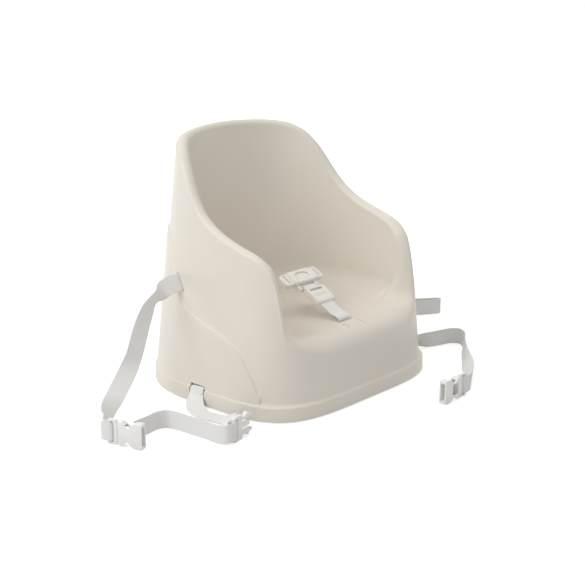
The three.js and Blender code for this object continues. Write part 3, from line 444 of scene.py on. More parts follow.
# %% The line of the rim and the step on the side
rim_line = [
    (-90, 0.102), (-66, 0.102), (-55, 0.103), (-51.5, 0.1055), (-49, 0.110), (-47, 0.1185),
    (-45.6, 0.132), (-44.4, 0.151), (-43.3, 0.171), (-42, 0.187), (-39.5, 0.202), (-33, 0.216),
    (-24, 0.225), (-10, 0.239), (5, 0.266), (22, 0.314), (32, 0.334), (44, 0.345), (62, 0.350),
    (90, 0.353),
]
step_line = [
    (-0.110, 0.014), (-0.108, 0.028), (-0.103, 0.042), (-0.097, 0.054), (-0.088, 0.067),
    (-0.079, 0.080), (-0.066, 0.092), (-0.053, 0.100), (-0.038, 0.105), (-0.021, 0.109),
    (-0.004, 0.114), (0.012, 0.119), (0.027, 0.125), (0.039, 0.133), (0.048, 0.146), (0.060, 0.164),
    (0.072, 0.180), (0.085, 0.200), (0.097, 0.215), (0.115, 0.222), (0.200, 0.224),
]
arm_start, arm_full = -62, -48
most_stretch = 3.2


def fade(a, b, x):
    """0 up to a, 1 from b on, and a soft climb between them."""
    t = min(1.0, max(0.0, (x - a) / (b - a)))
    return t * t * (3 - 2 * t)


def mix(a, b, t):
    return a + (b - a) * t


def even_slope(table, k):
    """Slope at one point of a table that never makes the curve overshoot."""
    if k <= 0 or k >= len(table) - 1:
        return 0.0
    before = (table[k][1] - table[k - 1][1]) / (table[k][0] - table[k - 1][0])
    after = (table[k + 1][1] - table[k][1]) / (table[k + 1][0] - table[k][0])
    return 0.0 if before * after <= 0 else 2 * before * after / (before + after)


def curve_through(table, x):
    i = 0
    while i < len(table) - 2 and x > table[i + 1][0]:
        i += 1
    (x0, h0), (x1, h1) = table[i], table[i + 1]
    span = x1 - x0
    t = (x - x0) / span
    m0, m1 = even_slope(table, i) * span, even_slope(table, i + 1) * span
    return (h0 * (1 + 2 * t) * (1 - t) ** 2 + m0 * t * (1 - t) ** 2
            + h1 * t * t * (3 - 2 * t) - m1 * t * t * (1 - t))


def rim_height(degrees):
    return curve_through(rim_line, degrees)


def rim_stretch(degrees):
    """1 where the rim is level, more where it climbs steeply."""
    low, high = max(-90, degrees - 0.5), min(90, degrees + 0.5)
    run = math.dist(outline_point(low, 1, rim_height(low), 0),
                    outline_point(high, 1, rim_height(high), 0))
    return min(most_stretch, math.hypot(run, rim_height(high) - rim_height(low)) / run)


# %% Columns spaced evenly along the rim
def column_angles(count, samples=1440):
    table = [-90 + 180 * i / samples for i in range(samples + 1)]
    places = [np.array((*outline_point(a, 1, rim_height(a), 0), rim_height(a))) for a in table]
    strides = [np.linalg.norm(q - p) for p, q in zip(places, places[1:])]
    lengths = np.concatenate([[0], np.cumsum(strides)])
    return [float(np.interp(lengths[-1] * i / count, lengths, table)) for i in range(count + 1)]


# %% The profile of one column, outside and hollow side
flange_taper, flare_top, hollow_flare_top = 0.0003, 0.0065, 0.004
bead_radius, panel_bead_radius = 0.0026, 0.0014
flare_rise, panel_flare_rise = 0.0045, 0.003
hollow_under_flange, hollow_over_flange = 0.017, 0.023
step_soft, most_step_soft, step_room = 0.0014, 0.012, 0.006
lip_inner_share, bowl_lean = 0.7, 0.004
shallow_bowl, deep_bowl = 0.012, 0.085


def turn_steps(count):
    return [90 * (i + 1) / count for i in range(count)]


def step_height(y, probe=0.001):
    """Height of the step line at y, and how far its soft edge spreads in height there."""
    lo, here, hi = (float(np.interp(y + dy, *zip(*step_line))) for dy in (-probe, 0, probe))
    return here, min(most_step_soft, step_soft * math.hypot(1, (hi - lo) / (2 * probe)))


def column_rows(degrees, depth):
    """Rows of (kind, inset, height, proud), from the floor over the rim and into the bowl."""
    height = rim_height(degrees)
    armed = fade(arm_start, arm_full, degrees)
    stretch = mix(1, rim_stretch(degrees), armed)
    half_rim = rim_width / 2
    outer_run = mix(lip_roll, half_rim, armed)
    outer_drop = mix(lip_roll_drop, half_rim * stretch, armed)
    inner_run = mix(lip_roll * lip_inner_share, half_rim, armed)
    bowl = height - seat_height
    inner_drop = min(half_rim * stretch, bowl * 0.45)
    rim_base, top = height - outer_drop, height - depth * stretch
    foot_drop = min(seat_fillet, bowl * 0.5)
    wall_top, wall_bottom = height - inner_drop, seat_height + foot_drop
    lean = bowl_lean + bowl_draft * max(0.0, wall_top - wall_bottom)
    rows, fine = [], depth == 0
    wall_start = flange_height + (flare_top if fine else hollow_flare_top)
    if fine:
        for inset, z in ((0.0007, 0.0), (0.00015, 0.0003), (0, 0.0011), (0.0001, 0.006),
                         (flange_taper, 0.012)):
            rows.append(("flange", inset, shell_lift + z, 0))
        y = outline_point(degrees, 1, 0.06, flange_step)[1]
        proud = fade(step_line[0][0] + 0.0006, step_line[0][0] + 0.002, y)
        bead = mix(bead_radius, panel_bead_radius, proud)
        for a in np.linspace(0, 90, 7):
            a = math.radians(a)
            rows.append(("flange", flange_taper + bead * (1 - math.cos(a)),
                         flange_height - bead * (1 - math.sin(a)), 0))
        flare = flange_step - panel_proud * proud - bead
        rise = mix(flare_rise, panel_flare_rise, proud)
        for a in np.linspace(15, 90, 6):
            a = math.radians(a)
            rows.append(("flange", flange_taper + bead + flare * math.sin(a),
                         flange_height + rise * (1 - math.cos(a)), 0))
        middle, spread = step_height(y)
        middle = min(max(middle, wall_start + step_room), rim_base - step_room)
        spread = min(spread, 0.9 * (middle - wall_start), 0.9 * (rim_base - middle))
        for t in np.linspace(0, 1, 13)[:-1]:
            rows.append(("body", 0, mix(wall_start, middle - spread, t), proud))
        for t in np.linspace(-1, 1, 7)[:-1]:
            rows.append(("body", 0, middle + spread * t, proud * (1 - fade(-1, 1, t))))
        for t in np.linspace(0, 1, 13)[:-1]:
            rows.append(("body", 0, mix(middle + spread, rim_base, t), 0))
        rows.append(("body", 0, rim_base, 0))
    else:
        rows += [("flange", depth, shell_lift, 0),
                 ("flange", depth + flange_taper, hollow_under_flange, 0),
                 ("body", depth, hollow_over_flange, 0)]
        for t in np.linspace(0, 1, 9):
            rows.append(("body", depth, mix(wall_start, rim_base, t), 0))
    arc, walls, feet = (16, 12, 14) if fine else (6, 6, 6)
    shares = (4 / 11, 3 / 11, 4 / 11) if fine else (1 / 3,) * 3
    for a in turn_steps(arc):
        a = math.radians(a)
        rows.append(("rim", outer_run - (outer_run - depth) * math.cos(a),
                     rim_base + (top - rim_base) * math.sin(a), 0))
    inside = []
    for a in turn_steps(arc):
        b = math.radians(90 - a)
        inside.append((a / 90 * shares[0], outer_run + (inner_run - depth) * math.cos(b),
                       top - (top - wall_top) * (1 - math.sin(b))))
    wall_inset = outer_run + inner_run - depth
    wall_high = min(wall_top, top - 0.0004)
    wall_low = wall_bottom - depth * (1 - armed)
    for i in range(walls):
        t = (i + 1) / walls
        inside.append((shares[0] + t * shares[1], wall_inset + lean * t,
                       mix(wall_high, wall_low, t)))
    pan = seat_height - depth
    for a in turn_steps(feet):
        b = math.radians(a)
        inside.append((shares[0] + shares[1] + a / 90 * shares[2],
                       wall_inset + lean + (seat_fillet + depth) * (1 - math.cos(b)),
                       pan + (wall_low - pan) * (1 - math.sin(b))))
    deep = fade(shallow_bowl, deep_bowl, bowl)
    last_run = inside[-1][1]
    for t, run, z in inside:
        gentle = mix(top, pan, fade(0, 1, t))
        rows.append(("rim", mix(mix(outer_run, last_run, t), run, deep), mix(gentle, z, deep), 0))
    return rows, rim_base


# %% The skin of the tub
half_columns, pan_pole_shift = 180, 0.012


def tub_rings(columns, depth):
    profiles = [column_rows(a, depth) for a, _ in columns]
    rings = []
    for r in range(len(profiles[0][0])):
        ring = []
        for (degrees, side), (rows, rim_base) in zip(columns, profiles):
            kind, inset, z, proud = rows[r]
            level = {"flange": 0, "body": z, "rim": rim_base}[kind]
            extra = inset if kind == "flange" else flange_step + inset - panel_proud * proud
            ring.append((*outline_point(degrees, side, level, extra), z))
        rings.append(np.array(ring))
    pole = np.array((0, outline_centre_y - pan_pole_shift, seat_height - depth))
    last = rings[-1]
    for t in ((0.12, 0.3, 0.5, 0.7, 0.88) if depth == 0 else (0.4, 0.75)):
        rings.append(last * (1 - t) + pole * t)
    return rings, pole


def loft_tub():
    half = column_angles(half_columns)
    columns = [(a, 1) for a in half] + [(a, -1) for a in half[-2:0:-1]]
    outside, outer_pole = tub_rings(columns, 0)
    hollow, inner_pole = tub_rings(columns, wall)
    rings = outside[::-1] + hollow
    count = len(columns)
    points = [tuple(p) for ring in rings for p in ring] + [tuple(outer_pole), tuple(inner_pole)]
    faces, last = [], (len(rings) - 1) * count
    for r in range(len(rings) - 1):
        for i in range(count):
            j = (i + 1) % count
            a, b = r * count + i, r * count + j
            faces.append((a, a + count, b + count, b))
    for i in range(count):
        j = (i + 1) % count
        faces.append((len(points) - 2, i, j))
        faces.append((len(points) - 1, last + j, last + i))
    mesh = bpy.data.meshes.new("seat_tub")
    mesh.from_pydata(points, [], faces)
    return new_object("seat_tub", mesh)


seat_tub = loft_tub()
clean_normals(seat_tub, 0.000001)
print("tub", len(seat_tub.data.polygons), "faces")

# %% [markdown]
# Under the pan the moulding has four hollow posts, which take the feet, and shallow ribs
# between them. They could be drawn as one mesh, but blocks and rods joined by a boolean
# keep each size plain, and the same call cuts the strap slots out of the wall.

# %% Blocks, rods and booleans
round_sides = 48
block_edge_angle, moulding_edge_angle = 30, 28


def primitive(name, add, **settings):
    """Adds one of Blender's own primitives at the origin."""
    only(seat_tub)
    add(location=(0, 0, 0), **settings)
    piece = bpy.context.object
    piece.name = name
    return piece


def add_block(name, size, centre, tilt=0.0, bevel=0.0, segments=3):
    piece = primitive(name, bpy.ops.mesh.primitive_cube_add, size=1)
    piece.data.transform(Matrix.Translation(centre) @ Matrix.Rotation(tilt, 4, "X")
                         @ Matrix.Diagonal((*size, 1)))
    if bevel:
        round_edges(piece, bevel, segments, block_edge_angle)
    return piece


def both_sides(blocks):
    """Blocks of (name, size, centre, tilt, edge radius), all at the left, then at the right."""
    return [add_block(name, size, (side * x, y, z), tilt, bevel)
            for side in (-1, 1) for name, size, (x, y, z), tilt, bevel in blocks]


def add_rod(name, radius, low, high, x, y):
    piece = primitive(name, bpy.ops.mesh.primitive_cylinder_add, vertices=round_sides,
                      radius=radius, depth=high - low)
    piece.data.transform(Matrix.Translation((x, y, (low + high) / 2)))
    return piece


def round_edges(piece, width, segments, degrees):
    only(piece)
    bevel = piece.modifiers.new("rounding", "BEVEL")
    bevel.width, bevel.segments = width, segments
    bevel.limit_method, bevel.angle_limit = "ANGLE", math.radians(degrees)
    bpy.ops.object.modifier_apply(modifier=bevel.name)


def combine(piece, tools, operation):
    """Joins or cuts piece by each tool in turn, and removes the tools."""
    for tool in tools:
        only(piece)
        cut = piece.modifiers.new("boolean", "BOOLEAN")
        cut.operation, cut.object, cut.solver = operation, tool, "MANIFOLD"
        bpy.ops.object.modifier_apply(modifier=cut.name)
        bpy.data.objects.remove(tool)


# %% Posts, ribs and the backs of the recesses
post_x, post_ys, post_radius, post_bore, bore_top = 0.104, (-0.092, 0.084), 0.010, 0.0074, 0.0605
post_places = [(side * post_x, y) for side in (-1, 1) for y in post_ys]
post_top, rib_bottom, rib_thick = seat_height - wall / 2, 0.068, 0.0026
rib_size_z, rib_z = post_top - rib_bottom, (post_top + rib_bottom) / 2
tools = [add_block("rib", (2 * post_x, rib_thick, rib_size_z), (0, y, rib_z)) for y in post_ys]
tools += [add_block("rib", (rib_thick, post_ys[1] - post_ys[0], rib_size_z),
                    (x, sum(post_ys) / 2, rib_z)) for x in (-post_x, 0, post_x)]
tools += [add_rod("post", post_radius, shell_lift, post_top, x, y) for x, y in post_places]
recess_length, backing_inset = webbing_width + 0.004, 0.0006
backing_thick, backing_height = wall + 0.004, flange_height - 0.004
tools += both_sides([("recess_backing", (backing_thick, recess_length + 2 * wall, backing_height),
                      (base_half_width - backing_inset - backing_thick / 2, lower_y,
                       shell_lift + backing_height / 2), 0, 0)])
combine(seat_tub, tools, "UNION")
print("tub with posts", len(seat_tub.data.polygons), "faces")

# %% [markdown]
# The slots are cut last, through the finished wall. The upper pair leans with the step on
# the side, the lower pair opens above a recess that leads the webbing to the floor, and
# the pan has the crotch slot with two short slits ahead of it.

# %% Slots and recesses
slot_length, slot_gap = webbing_width + 0.003, webbing_thick + 0.0016
side_cuts = [
    ("upper_slot", (0.030, slot_gap, slot_length), (upper_start + 0.008, upper_y, upper_z),
     -slot_lean, 0.0013),
    ("lower_slot", (0.024, slot_length, 0.006), (0.177, lower_y, lower_z), 0, 0.001),
    ("recess", (0.020, recess_length, flange_height), (0.186, lower_y, 0.012), 0, 0.0012),
]
slit = ("slit", (0.0013, 0.015, 0.012), (0.0155, -0.1305, 0.100), 0, 0.0005)
tools = [add_rod("post_hole", post_bore, -0.001, bore_top, x, y) for x, y in post_places]
tools += both_sides(side_cuts)
tools.append(add_block("crotch_slot", (slot_length, 0.0034, 0.012), (0, crotch_y, 0.100),
                       0, 0.0012))
tools += both_sides([slit])
combine(seat_tub, tools, "DIFFERENCE")
smooth_by_angle(seat_tub, tub_smooth)
stand_for(seat_tub, "seat", "seat_shell", "shell")
print("tub with slots", len(seat_tub.data.polygons), "faces")

# %% [markdown]
# The feet are soft rubber buttons pressed into the posts. Turned parts like these are
# spun from half a profile: an edge is drawn from its bottom to its top and swept round.

# %% The four feet
def spun(name, profile, centre):
    """A closed turned part from a profile of (radius, height) points."""
    piece = primitive(name, bpy.ops.mesh.primitive_plane_add, size=1)
    edit_all(piece)
    bpy.ops.mesh.delete(type="VERT")
    bpy.ops.object.mode_set(mode="OBJECT")
    edges = [(i, i + 1) for i in range(len(profile) - 1)]
    piece.data.from_pydata([(r, 0, z) for r, z in profile], edges, [])
    edit_all(piece)
    bpy.ops.mesh.spin(steps=round_sides, angle=math.tau, center=(0, 0, 0), axis=(0, 0, 1))
    bpy.ops.object.mode_set(mode="OBJECT")
    piece.data.transform(Matrix.Translation(centre))
    clean_normals(piece, 0.00002)
    return piece


foot_profile = [
    (0, 0), (0.0035, 0), (0.0038, 0.0003), (0.0044, 0.0003), (0.0047, 0), (0.008, 0),
    (0.0089, 0.0002), (0.0094, 0.0006), (0.0093, 0.001), (0.009, 0.0012), (0.0071, 0.0012),
    (0.0071, 0.003), (0.0068, 0.0034), (0.0068, 0.0042), (0.0071, 0.0046), (0.0071, 0.007),
    (0.0062, 0.008), (0, 0.008),
]
for end, y in zip(("front", "back"), post_ys):
    for hand, side in (("left", -1), ("right", 1)):
        foot = spun(f"rubber_foot_{end}_{hand}", foot_profile, (side * post_x, y, 0))
        smooth_by_angle(foot, foot_smooth)
        stand_for(foot, "seat", f"foot_{end}_{hand}", "foot")
print("feet", len(foot.data.polygons), "faces each")

# %% [markdown]
# The buckles and the harness parts are small mouldings whose shapes the CAD source
# already holds. A copy of each is merged into one skin, its flat faces are joined up,
# and every edge gets the small radius that a mould leaves, which catches the light.
# Two details are cut into the copies first: the window that each receiver has in one
# face, and the shallow dish that the thumb finds in the push button.

# %% Tools for the window and the dish
window_size, window_centre, window_corner = (0.0135, 0.0165, 0.012), (0.028, 0, -0.006), 0.0026
buckle_along, button_top = 0.094, 0.004
dish_half_size = (0.0122, 0.0052, 0.0008)


def receiver_window(place):
    window = add_block("window", window_size, window_centre, 0, window_corner, 4)
    window.data.transform(place)
    return window


def button_dish():
    dish = primitive("dish", bpy.ops.mesh.primitive_uv_sphere_add, segments=round_sides,
                     ring_count=round_sides // 2, radius=1)
    dish.data.transform(harness_frame @ Matrix.Translation((0, buckle_along, button_top))
                        @ Matrix.Diagonal((*dish_half_size, 1)))
    return dish


# %% Small mouldings with moulded edges
moulding_radius, button_radius, flat_angle = 0.0005, 0.0004, 0.6


def moulded_copy(solid, name, slot, radius, cuts):
    """A copy of a CAD solid as one skin, with its cuts made and its edges rounded."""
    source = frame["nodes"][solid]
    mesh = source.data.copy()
    mesh.materials.clear()
    piece = new_object(name, mesh)
    only(piece)
    bpy.ops.mesh.customdata_custom_splitnormals_clear()
    clean_normals(piece)
    edit_all(piece)
    bpy.ops.mesh.dissolve_limited(angle_limit=math.radians(flat_angle))
    bpy.ops.object.mode_set(mode="OBJECT")
    combine(piece, cuts, "DIFFERENCE")
    round_edges(piece, radius, 3, moulding_edge_angle)
    smooth_by_angle(piece, moulding_smooth)
    stand_for(piece, source["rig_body"], solid, slot)
    print(name, len(piece.data.polygons), "faces")
    return piece


for solid, place in (("strap_receiver_left", receiver_left_place),
                     ("strap_receiver_right", receiver_right_place),
                     ("strap_clip_left", None), ("strap_clip_right", None)):
    moulded_copy(solid, solid.replace("strap_", "side_"), "strap_buckle",
                                        moulding_radius, [receiver_window(place)] if place else [])
for solid in ("harness_buckle_top", "harness_buckle_bottom", "harness_button",
              "harness_clip_left", "harness_clip_right", "crotch_adjuster", "crotch_anchor"):
    radius, cuts = moulding_radius, []
    if solid == "harness_button":
        radius, cuts = button_radius, [button_dish()]
    moulded_copy(solid, solid + "_moulding", "harness_plastic", radius, cuts)

# %% [markdown]
# Under the button stands a coil of drawn steel wire. A circle could be swept with the screw
# modifier, but a curve with a round bevel keeps the wire round where it climbs, and closes
# its ends. The real coil shortens towards the floor of the buckle as the button goes in;
# here it is built at its full length.

# %% The button's spring
spring_turns, spring_radius, spring_wire = 3, 0.0026, 0.0006
spring_low, spring_high, button_stroke = -0.0034, 0.0016, 0.0014
coil_steps = 36 * spring_turns
coil = bpy.data.curves.new("button_coil", "CURVE")
coil.dimensions = "3D"
coil.bevel_depth, coil.bevel_resolution, coil.use_fill_caps = spring_wire / 2, 3, True
wire_line = coil.splines.new("POLY")
wire_line.points.add(coil_steps)
for i, point in enumerate(wire_line.points):
    turned = math.tau * spring_turns * i / coil_steps
    climb = mix(spring_low + spring_wire / 2, spring_high - spring_wire / 2, i / coil_steps)
    x, y = spring_radius * math.cos(turned), buckle_along + spring_radius * math.sin(turned)
    point.co = (*(harness_frame @ Vector((x, y, climb))), 1)
spring = new_object("button_coil", coil)
only(spring)
bpy.ops.object.convert(target="MESH")
spring = bpy.context.object
clean_normals(spring)
smooth_by_angle(spring, wire_smooth)
stand_for(spring, "harness", "harness_spring", "spring")
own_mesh(spring)
print("spring", len(spring.data.polygons), "faces")

# %% [markdown]
# Each free strap is listed with the buckle at its end and the kind of its far end, beside
# its piece, its middle line and its length measured along the line it follows; the loop
# only looks these up.

# %% The free straps and their buckles
for strap, buckle, far_end in (("upper_strap_left", "strap_receiver_left", "connector"),
                               ("lower_strap_left", "strap_clip_left", "bare"),
                               ("lower_strap_right", "strap_receiver_right", "connector"),
                               ("upper_strap_right", "strap_clip_right", "bare")):
    piece, middle, length = free_straps[strap]

# %% [markdown]
# Every finish starts from what the real surface is. Colours are written as they look on
# screen and turned to linear light in one place, and one function adds a node with its
# settings and its links, so each recipe below reads from top to bottom.

# %% Colours and nodes
def linear(hex_colour):
    parts = [int(hex_colour[i:i + 2], 16) / 255 for i in (1, 3, 5)]
    return (*(p / 12.92 if p <= 0.04045 else ((p + 0.055) / 1.055) ** 2.4 for p in parts), 1)


def node(tree, kind, values=None, links=None, **settings):
    """Adds a node, sets its options and inputs, and links inputs to (node, output)."""
    made = tree.nodes.new(kind)
    for name, value in settings.items():
        setattr(made, name, value)
    for key, value in (values or {}).items():
        made.inputs[key].default_value = value
    for key, (source, output) in (links or {}).items():
        tree.links.new(source.outputs[output], made.inputs[key])
    return made


def empty_tree(owner):
    """The node tree of a material or world, emptied."""
    owner.use_nodes = True
    owner.node_tree.nodes.clear()
    return owner.node_tree


def new_material(name, colour, roughness, ior=1.5, **shader_values):
    material = bpy.data.materials.new(name)
    tree = empty_tree(material)
    shader = node(tree, "ShaderNodeBsdfPrincipled", {
        "Base Color": linear(colour), "Roughness": roughness, "IOR": ior, **shader_values})
    node(tree, "ShaderNodeOutputMaterial", links={"Surface": (shader, "BSDF")})
    return material, tree, shader


# %% [markdown]
# The tub is moulded polypropylene in a warm off-white. Polypropylene has a soft, slightly
# waxy shine, and the mould is spark-eroded, so a fine even grain breaks the highlights.
# The grain of a real mould is about 0.3 mm; it is drawn at 0.9 mm so that it shows.

# %% Moulded polypropylene
def wear_and_grain(tree, shader, grain_mm, grain_depth_mm, rough_low, rough_high, tints):
    """Drifts of tint over 70 mm and of gloss over 18 mm, and the even grain of the mould."""
    where = {"Vector": (node(tree, "ShaderNodeTexCoord"), "Object")}
    drift = node(tree, "ShaderNodeTexNoise", {"Scale": 14.0, "Detail": 2.0}, where)
    tint = node(tree, "ShaderNodeMix", {6: linear(tints[0]), 7: linear(tints[1])},
                {0: (drift, "Fac")}, data_type="RGBA")
    tree.links.new(tint.outputs[2], shader.inputs["Base Color"])
    handling = node(tree, "ShaderNodeTexNoise", {"Scale": 55.0, "Detail": 4.0, "Roughness": 0.6},
                    where)
    gloss = node(tree, "ShaderNodeMapRange", {"From Min": 0.3, "From Max": 0.7,
                                              "To Min": rough_low, "To Max": rough_high},
                 {"Value": (handling, "Fac")})
    tree.links.new(gloss.outputs["Result"], shader.inputs["Roughness"])
    grain = node(tree, "ShaderNodeTexVoronoi", {"Scale": 1000.0 / grain_mm}, where,
                 feature="SMOOTH_F1")
    bump = node(tree, "ShaderNodeBump", {"Strength": 0.35, "Distance": grain_depth_mm / 1000},
                {"Height": (grain, "Distance")})
    tree.links.new(bump.outputs["Normal"], shader.inputs["Normal"])


polypropylene, tree, shader = new_material("warm_white_moulded_polypropylene", "#e4dfd5",
                                           0.37, 1.49)
wear_and_grain(tree, shader, 0.9, 0.05, 0.31, 0.44, ("#e7e2d8", "#e2dcd1"))
print("material", polypropylene.name)

# %% [markdown]
# The side-release buckles are white acetal, a hard, slightly glossy plastic that is
# moulded in a polished tool, with faint sink waves 1.6 mm wide. The crotch harness is the
# same plastic in a warmer white.

# %% Moulded acetal
white_acetal, tree, shader = new_material("white_moulded_acetal", "#f2f2f1", 0.3, 1.48)
wear_and_grain(tree, shader, 1.6, 0.02, 0.24, 0.36, ("#f4f4f3", "#efefee"))
warm_acetal, tree, shader = new_material("warm_white_moulded_acetal", "#f1efe6", 0.3, 1.48)
wear_and_grain(tree, shader, 1.6, 0.02, 0.24, 0.36, ("#f3f1e9", "#eeebe2"))
print("materials", white_acetal.name, warm_acetal.name)

# %% [markdown]
# The straps are woven polyester webbing. Warp threads run along the band and the
# weft crosses under every other one, which gives small raised lozenges; the colour is
# painted darker in the low grooves between them, as painted shade. The threads of
# such webbing are about 0.6 mm apart; they are drawn at 1.25 mm so that they show. The
# pattern reads the band's own UV map, in metres across and along, so it follows every
# twist. Rows of stitches read the distance to the tack that is stored on the mesh.

# %% The arithmetic of the weave
thread = 0.00125
weft_pitch, stitch_pitch = thread * 1.4, 0.0016
# Each row names a value, says which value it starts from and gives the operations on it.
# "x" and "y" are metres across and along the band, "tack" is metres from the tack.
weave_steps = [
    ("across", "x", ("MULTIPLY", 1 / thread)),
    ("along", "y", ("MULTIPLY", 1 / weft_pitch)),
    ("stagger", "across", ("FLOOR",), ("FLOORED_MODULO", 2.0), ("MULTIPLY", 0.5)),
    ("warp", "across", ("MULTIPLY", math.pi), ("SINE",), ("ABSOLUTE",), ("POWER", 0.6)),
    ("weft", "along", ("ADD", "stagger"), ("MULTIPLY", math.pi), ("SINE",), ("ABSOLUTE",),
     ("POWER", 0.5)),
    ("weave", "warp", ("MULTIPLY", "weft")),
    ("rows", "tack", ("DIVIDE", stitch_pitch)),
    ("zigzag", "across", ("MULTIPLY", 0.62), ("PINGPONG", 0.5)),
    ("on row", "rows", ("ADD", "zigzag"), ("FRACT",), ("SUBTRACT", 0.5), ("ABSOLUTE",),
     ("LESS_THAN", 0.2)),
    ("near", "rows", ("ABSOLUTE",), ("LESS_THAN", 1.5)),
    ("stitch", "on row", ("MULTIPLY", "near")),
    ("height", "stitch", ("MULTIPLY", 1.2), ("ADD", "weave")),
]

# %% Woven polyester webbing
webbing, tree, shader = new_material("woven_polyester_webbing", "#f4f4f3", 0.75,
                                     **{"Sheen Weight": 0.25, "Sheen Roughness": 0.5})
weave_map = node(tree, "ShaderNodeUVMap", uv_map="weave")
split = node(tree, "ShaderNodeSeparateXYZ", links={"Vector": (weave_map, "UV")})
tack = node(tree, "ShaderNodeAttribute", attribute_name="tack")
found = {"x": (split, "X"), "y": (split, "Y"), "tack": (tack, "Fac")}
for name, first, *operations in weave_steps:
    value = found[first]
    for operation, *by in operations:
        numbers = {1: other for other in by if not isinstance(other, str)}
        links = {0: value, **{1: found[other] for other in by if isinstance(other, str)}}
        value = (node(tree, "ShaderNodeMath", numbers, links, operation=operation), 0)
    found[name] = value
# Painted shade: the colour is darker where the weave is low, in the grooves between the lozenges,
# and lighter on their raised tops.
colour = node(tree, "ShaderNodeMix", {6: linear("#e0e0df"), 7: linear("#f7f7f7")},
              {0: found["weave"]}, data_type="RGBA")
with_stitches = node(tree, "ShaderNodeMix", {7: linear("#fbfbfa")},
                     {0: found["stitch"], 6: (colour, 2)}, data_type="RGBA")
tree.links.new(with_stitches.outputs[2], shader.inputs["Base Color"])
relief = node(tree, "ShaderNodeBump", {"Strength": 0.5, "Distance": 0.0003},
              {"Height": found["height"]})
tree.links.new(relief.outputs["Normal"], shader.inputs["Normal"])
print("material", webbing.name)

# %% [markdown]
# The feet are grey-beige thermoplastic rubber, matt and slightly dusty, whose grain of
# 0.2 mm is drawn at 0.8 mm so that it shows. The spring in the harness buckle is drawn
# steel wire, with draw marks in its shine that are drawn 0.4 mm apart for the same reason.

# %% Rubber and spring steel
rubber, tree, shader = new_material("moulded_foot_rubber", "#8c877c", 0.85, 1.52)
wear_and_grain(tree, shader, 0.8, 0.04, 0.78, 0.92, ("#918c81", "#868176"))
draw_mark_mm = 0.4
spring_steel, tree, shader = new_material("drawn_spring_steel", "#c3c6ca", 0.28, Metallic=1.0)
where = node(tree, "ShaderNodeTexCoord")
draw_marks = node(tree, "ShaderNodeTexNoise", {"Scale": 1000.0 / draw_mark_mm, "Detail": 2.0},
                  {"Vector": (where, "Object")})
shine = node(tree, "ShaderNodeMapRange", {"To Min": 0.22, "To Max": 0.36},
             {"Value": (draw_marks, "Fac")})
tree.links.new(shine.outputs["Result"], shader.inputs["Roughness"])
print("materials", rubber.name, spring_steel.name)

# %% Each piece gets its finish
def finish_with(piece, material):
    piece.data.materials.clear()
    piece.data.materials.append(material)


by_slot = {"shell": polypropylene, "foot": rubber, "webbing": webbing, "strap_buckle": white_acetal,
           "harness_plastic": warm_acetal, "spring": spring_steel}
for piece in list(bpy.context.scene.objects):
    if piece.type == "MESH" and "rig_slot" in piece:
        finish_with(piece, by_slot[piece["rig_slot"]])
        print(piece.name, "has", piece.data.materials[0].name)

# %% [markdown]
# The picture is a catalogue cut-out: white ground, one broad soft key from the upper
# left, a little light from overhead and plenty of fill. The floor is a large pale plane.
# To the camera, and in reflections, it glows to a plain white, more so away from the seat
# as a paper sweep does, but still darkens where the seat shades it. The world does the
# same for the backdrop. What it gives as light is a pale, slightly warm ceiling,
# brightest overhead.

# %% The floor and the world
floor_size, sweep_near, sweep_far, glow_near, glow_far = 14, 0.45, 1.5, 0.56, 1.0
ceiling_low, ceiling_high, ceiling_colour = 0.29, 0.88, (1, 0.985, 0.955, 1)
plain_white = (1, 1, 1, 1)


def ground_rays(tree):
    """1 for camera, glossy and transmission rays, 0 for the rest."""
    path = node(tree, "ShaderNodeLightPath")
    either = (path, "Is Camera Ray")
    for ray in ("Is Glossy Ray", "Is Transmission Ray"):
        most = node(tree, "ShaderNodeMath", links={0: either, 1: (path, ray)}, operation="MAXIMUM")
        either = (most, 0)
    return most


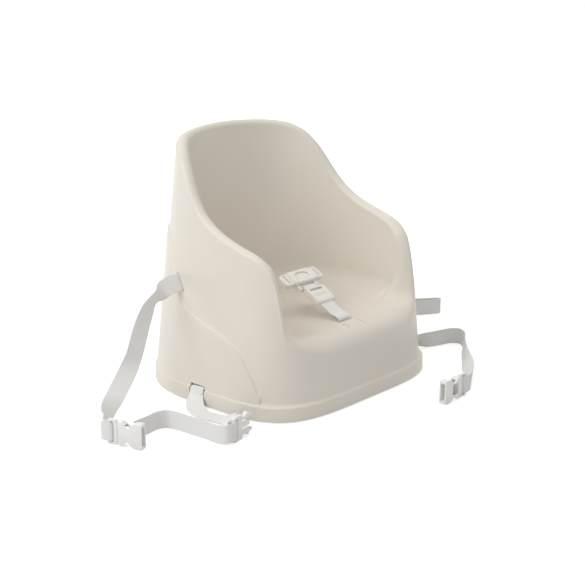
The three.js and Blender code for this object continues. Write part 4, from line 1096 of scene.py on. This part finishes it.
floor = primitive("pale_floor", bpy.ops.mesh.primitive_plane_add, size=floor_size)
floor_material = bpy.data.materials.new("pale_studio_floor")
tree = empty_tree(floor_material)
seen = ground_rays(tree)
where = node(tree, "ShaderNodeTexCoord")
distance = node(tree, "ShaderNodeVectorMath", links={0: (where, "Object")}, operation="LENGTH")
sweep = node(tree, "ShaderNodeMapRange", {"From Min": sweep_near, "From Max": sweep_far,
                                          "To Min": glow_near, "To Max": glow_far},
             {"Value": (distance, "Value")})
matt = node(tree, "ShaderNodeBsdfDiffuse", {"Color": linear("#dedede")})
glow = node(tree, "ShaderNodeEmission", {"Color": plain_white}, {"Strength": (sweep, "Result")})
lifted = node(tree, "ShaderNodeAddShader", links={0: (matt, 0), 1: (glow, 0)})
either = node(tree, "ShaderNodeMixShader", links={0: (seen, 0), 1: (matt, 0), 2: (lifted, 0)})
node(tree, "ShaderNodeOutputMaterial", links={"Surface": (either, 0)})
finish_with(floor, floor_material)

world = bpy.data.worlds.new("studio")
tree = empty_tree(world)
seen = ground_rays(tree)
where = node(tree, "ShaderNodeTexCoord")
split = node(tree, "ShaderNodeSeparateXYZ", links={"Vector": (where, "Generated")})
ceiling = node(tree, "ShaderNodeMapRange", {"To Min": ceiling_low, "To Max": ceiling_high},
               {"Value": (split, "Z")})
fill = node(tree, "ShaderNodeBackground", {"Color": ceiling_colour},
            {"Strength": (ceiling, "Result")})
white = node(tree, "ShaderNodeBackground", {"Color": plain_white, "Strength": 1.0})
either = node(tree, "ShaderNodeMixShader", links={0: (seen, 0), 1: (fill, 0), 2: (white, 0)})
node(tree, "ShaderNodeOutputWorld", links={"Surface": (either, 0)})
bpy.context.scene.world = world
bpy.context.scene.view_settings.view_transform = "Standard"


# %% The lamps
lamp_aim = Vector((0, 0, 0.15))


def softbox(name, place, width, height, watts):
    data = bpy.data.lights.new(name, "AREA")
    data.shape, data.size, data.size_y, data.energy = "RECTANGLE", width, height, watts
    lamp = new_object(name, data)
    lamp.location = place
    lamp.rotation_euler = (lamp_aim - Vector(place)).to_track_quat("-Z", "Y").to_euler()


softbox("key_from_left", (-1.9, 0.52, 1.82), 1.8, 1.4, 26)
softbox("top_right", (0.7, 0.3, 2.5), 1.4, 1.4, 5)
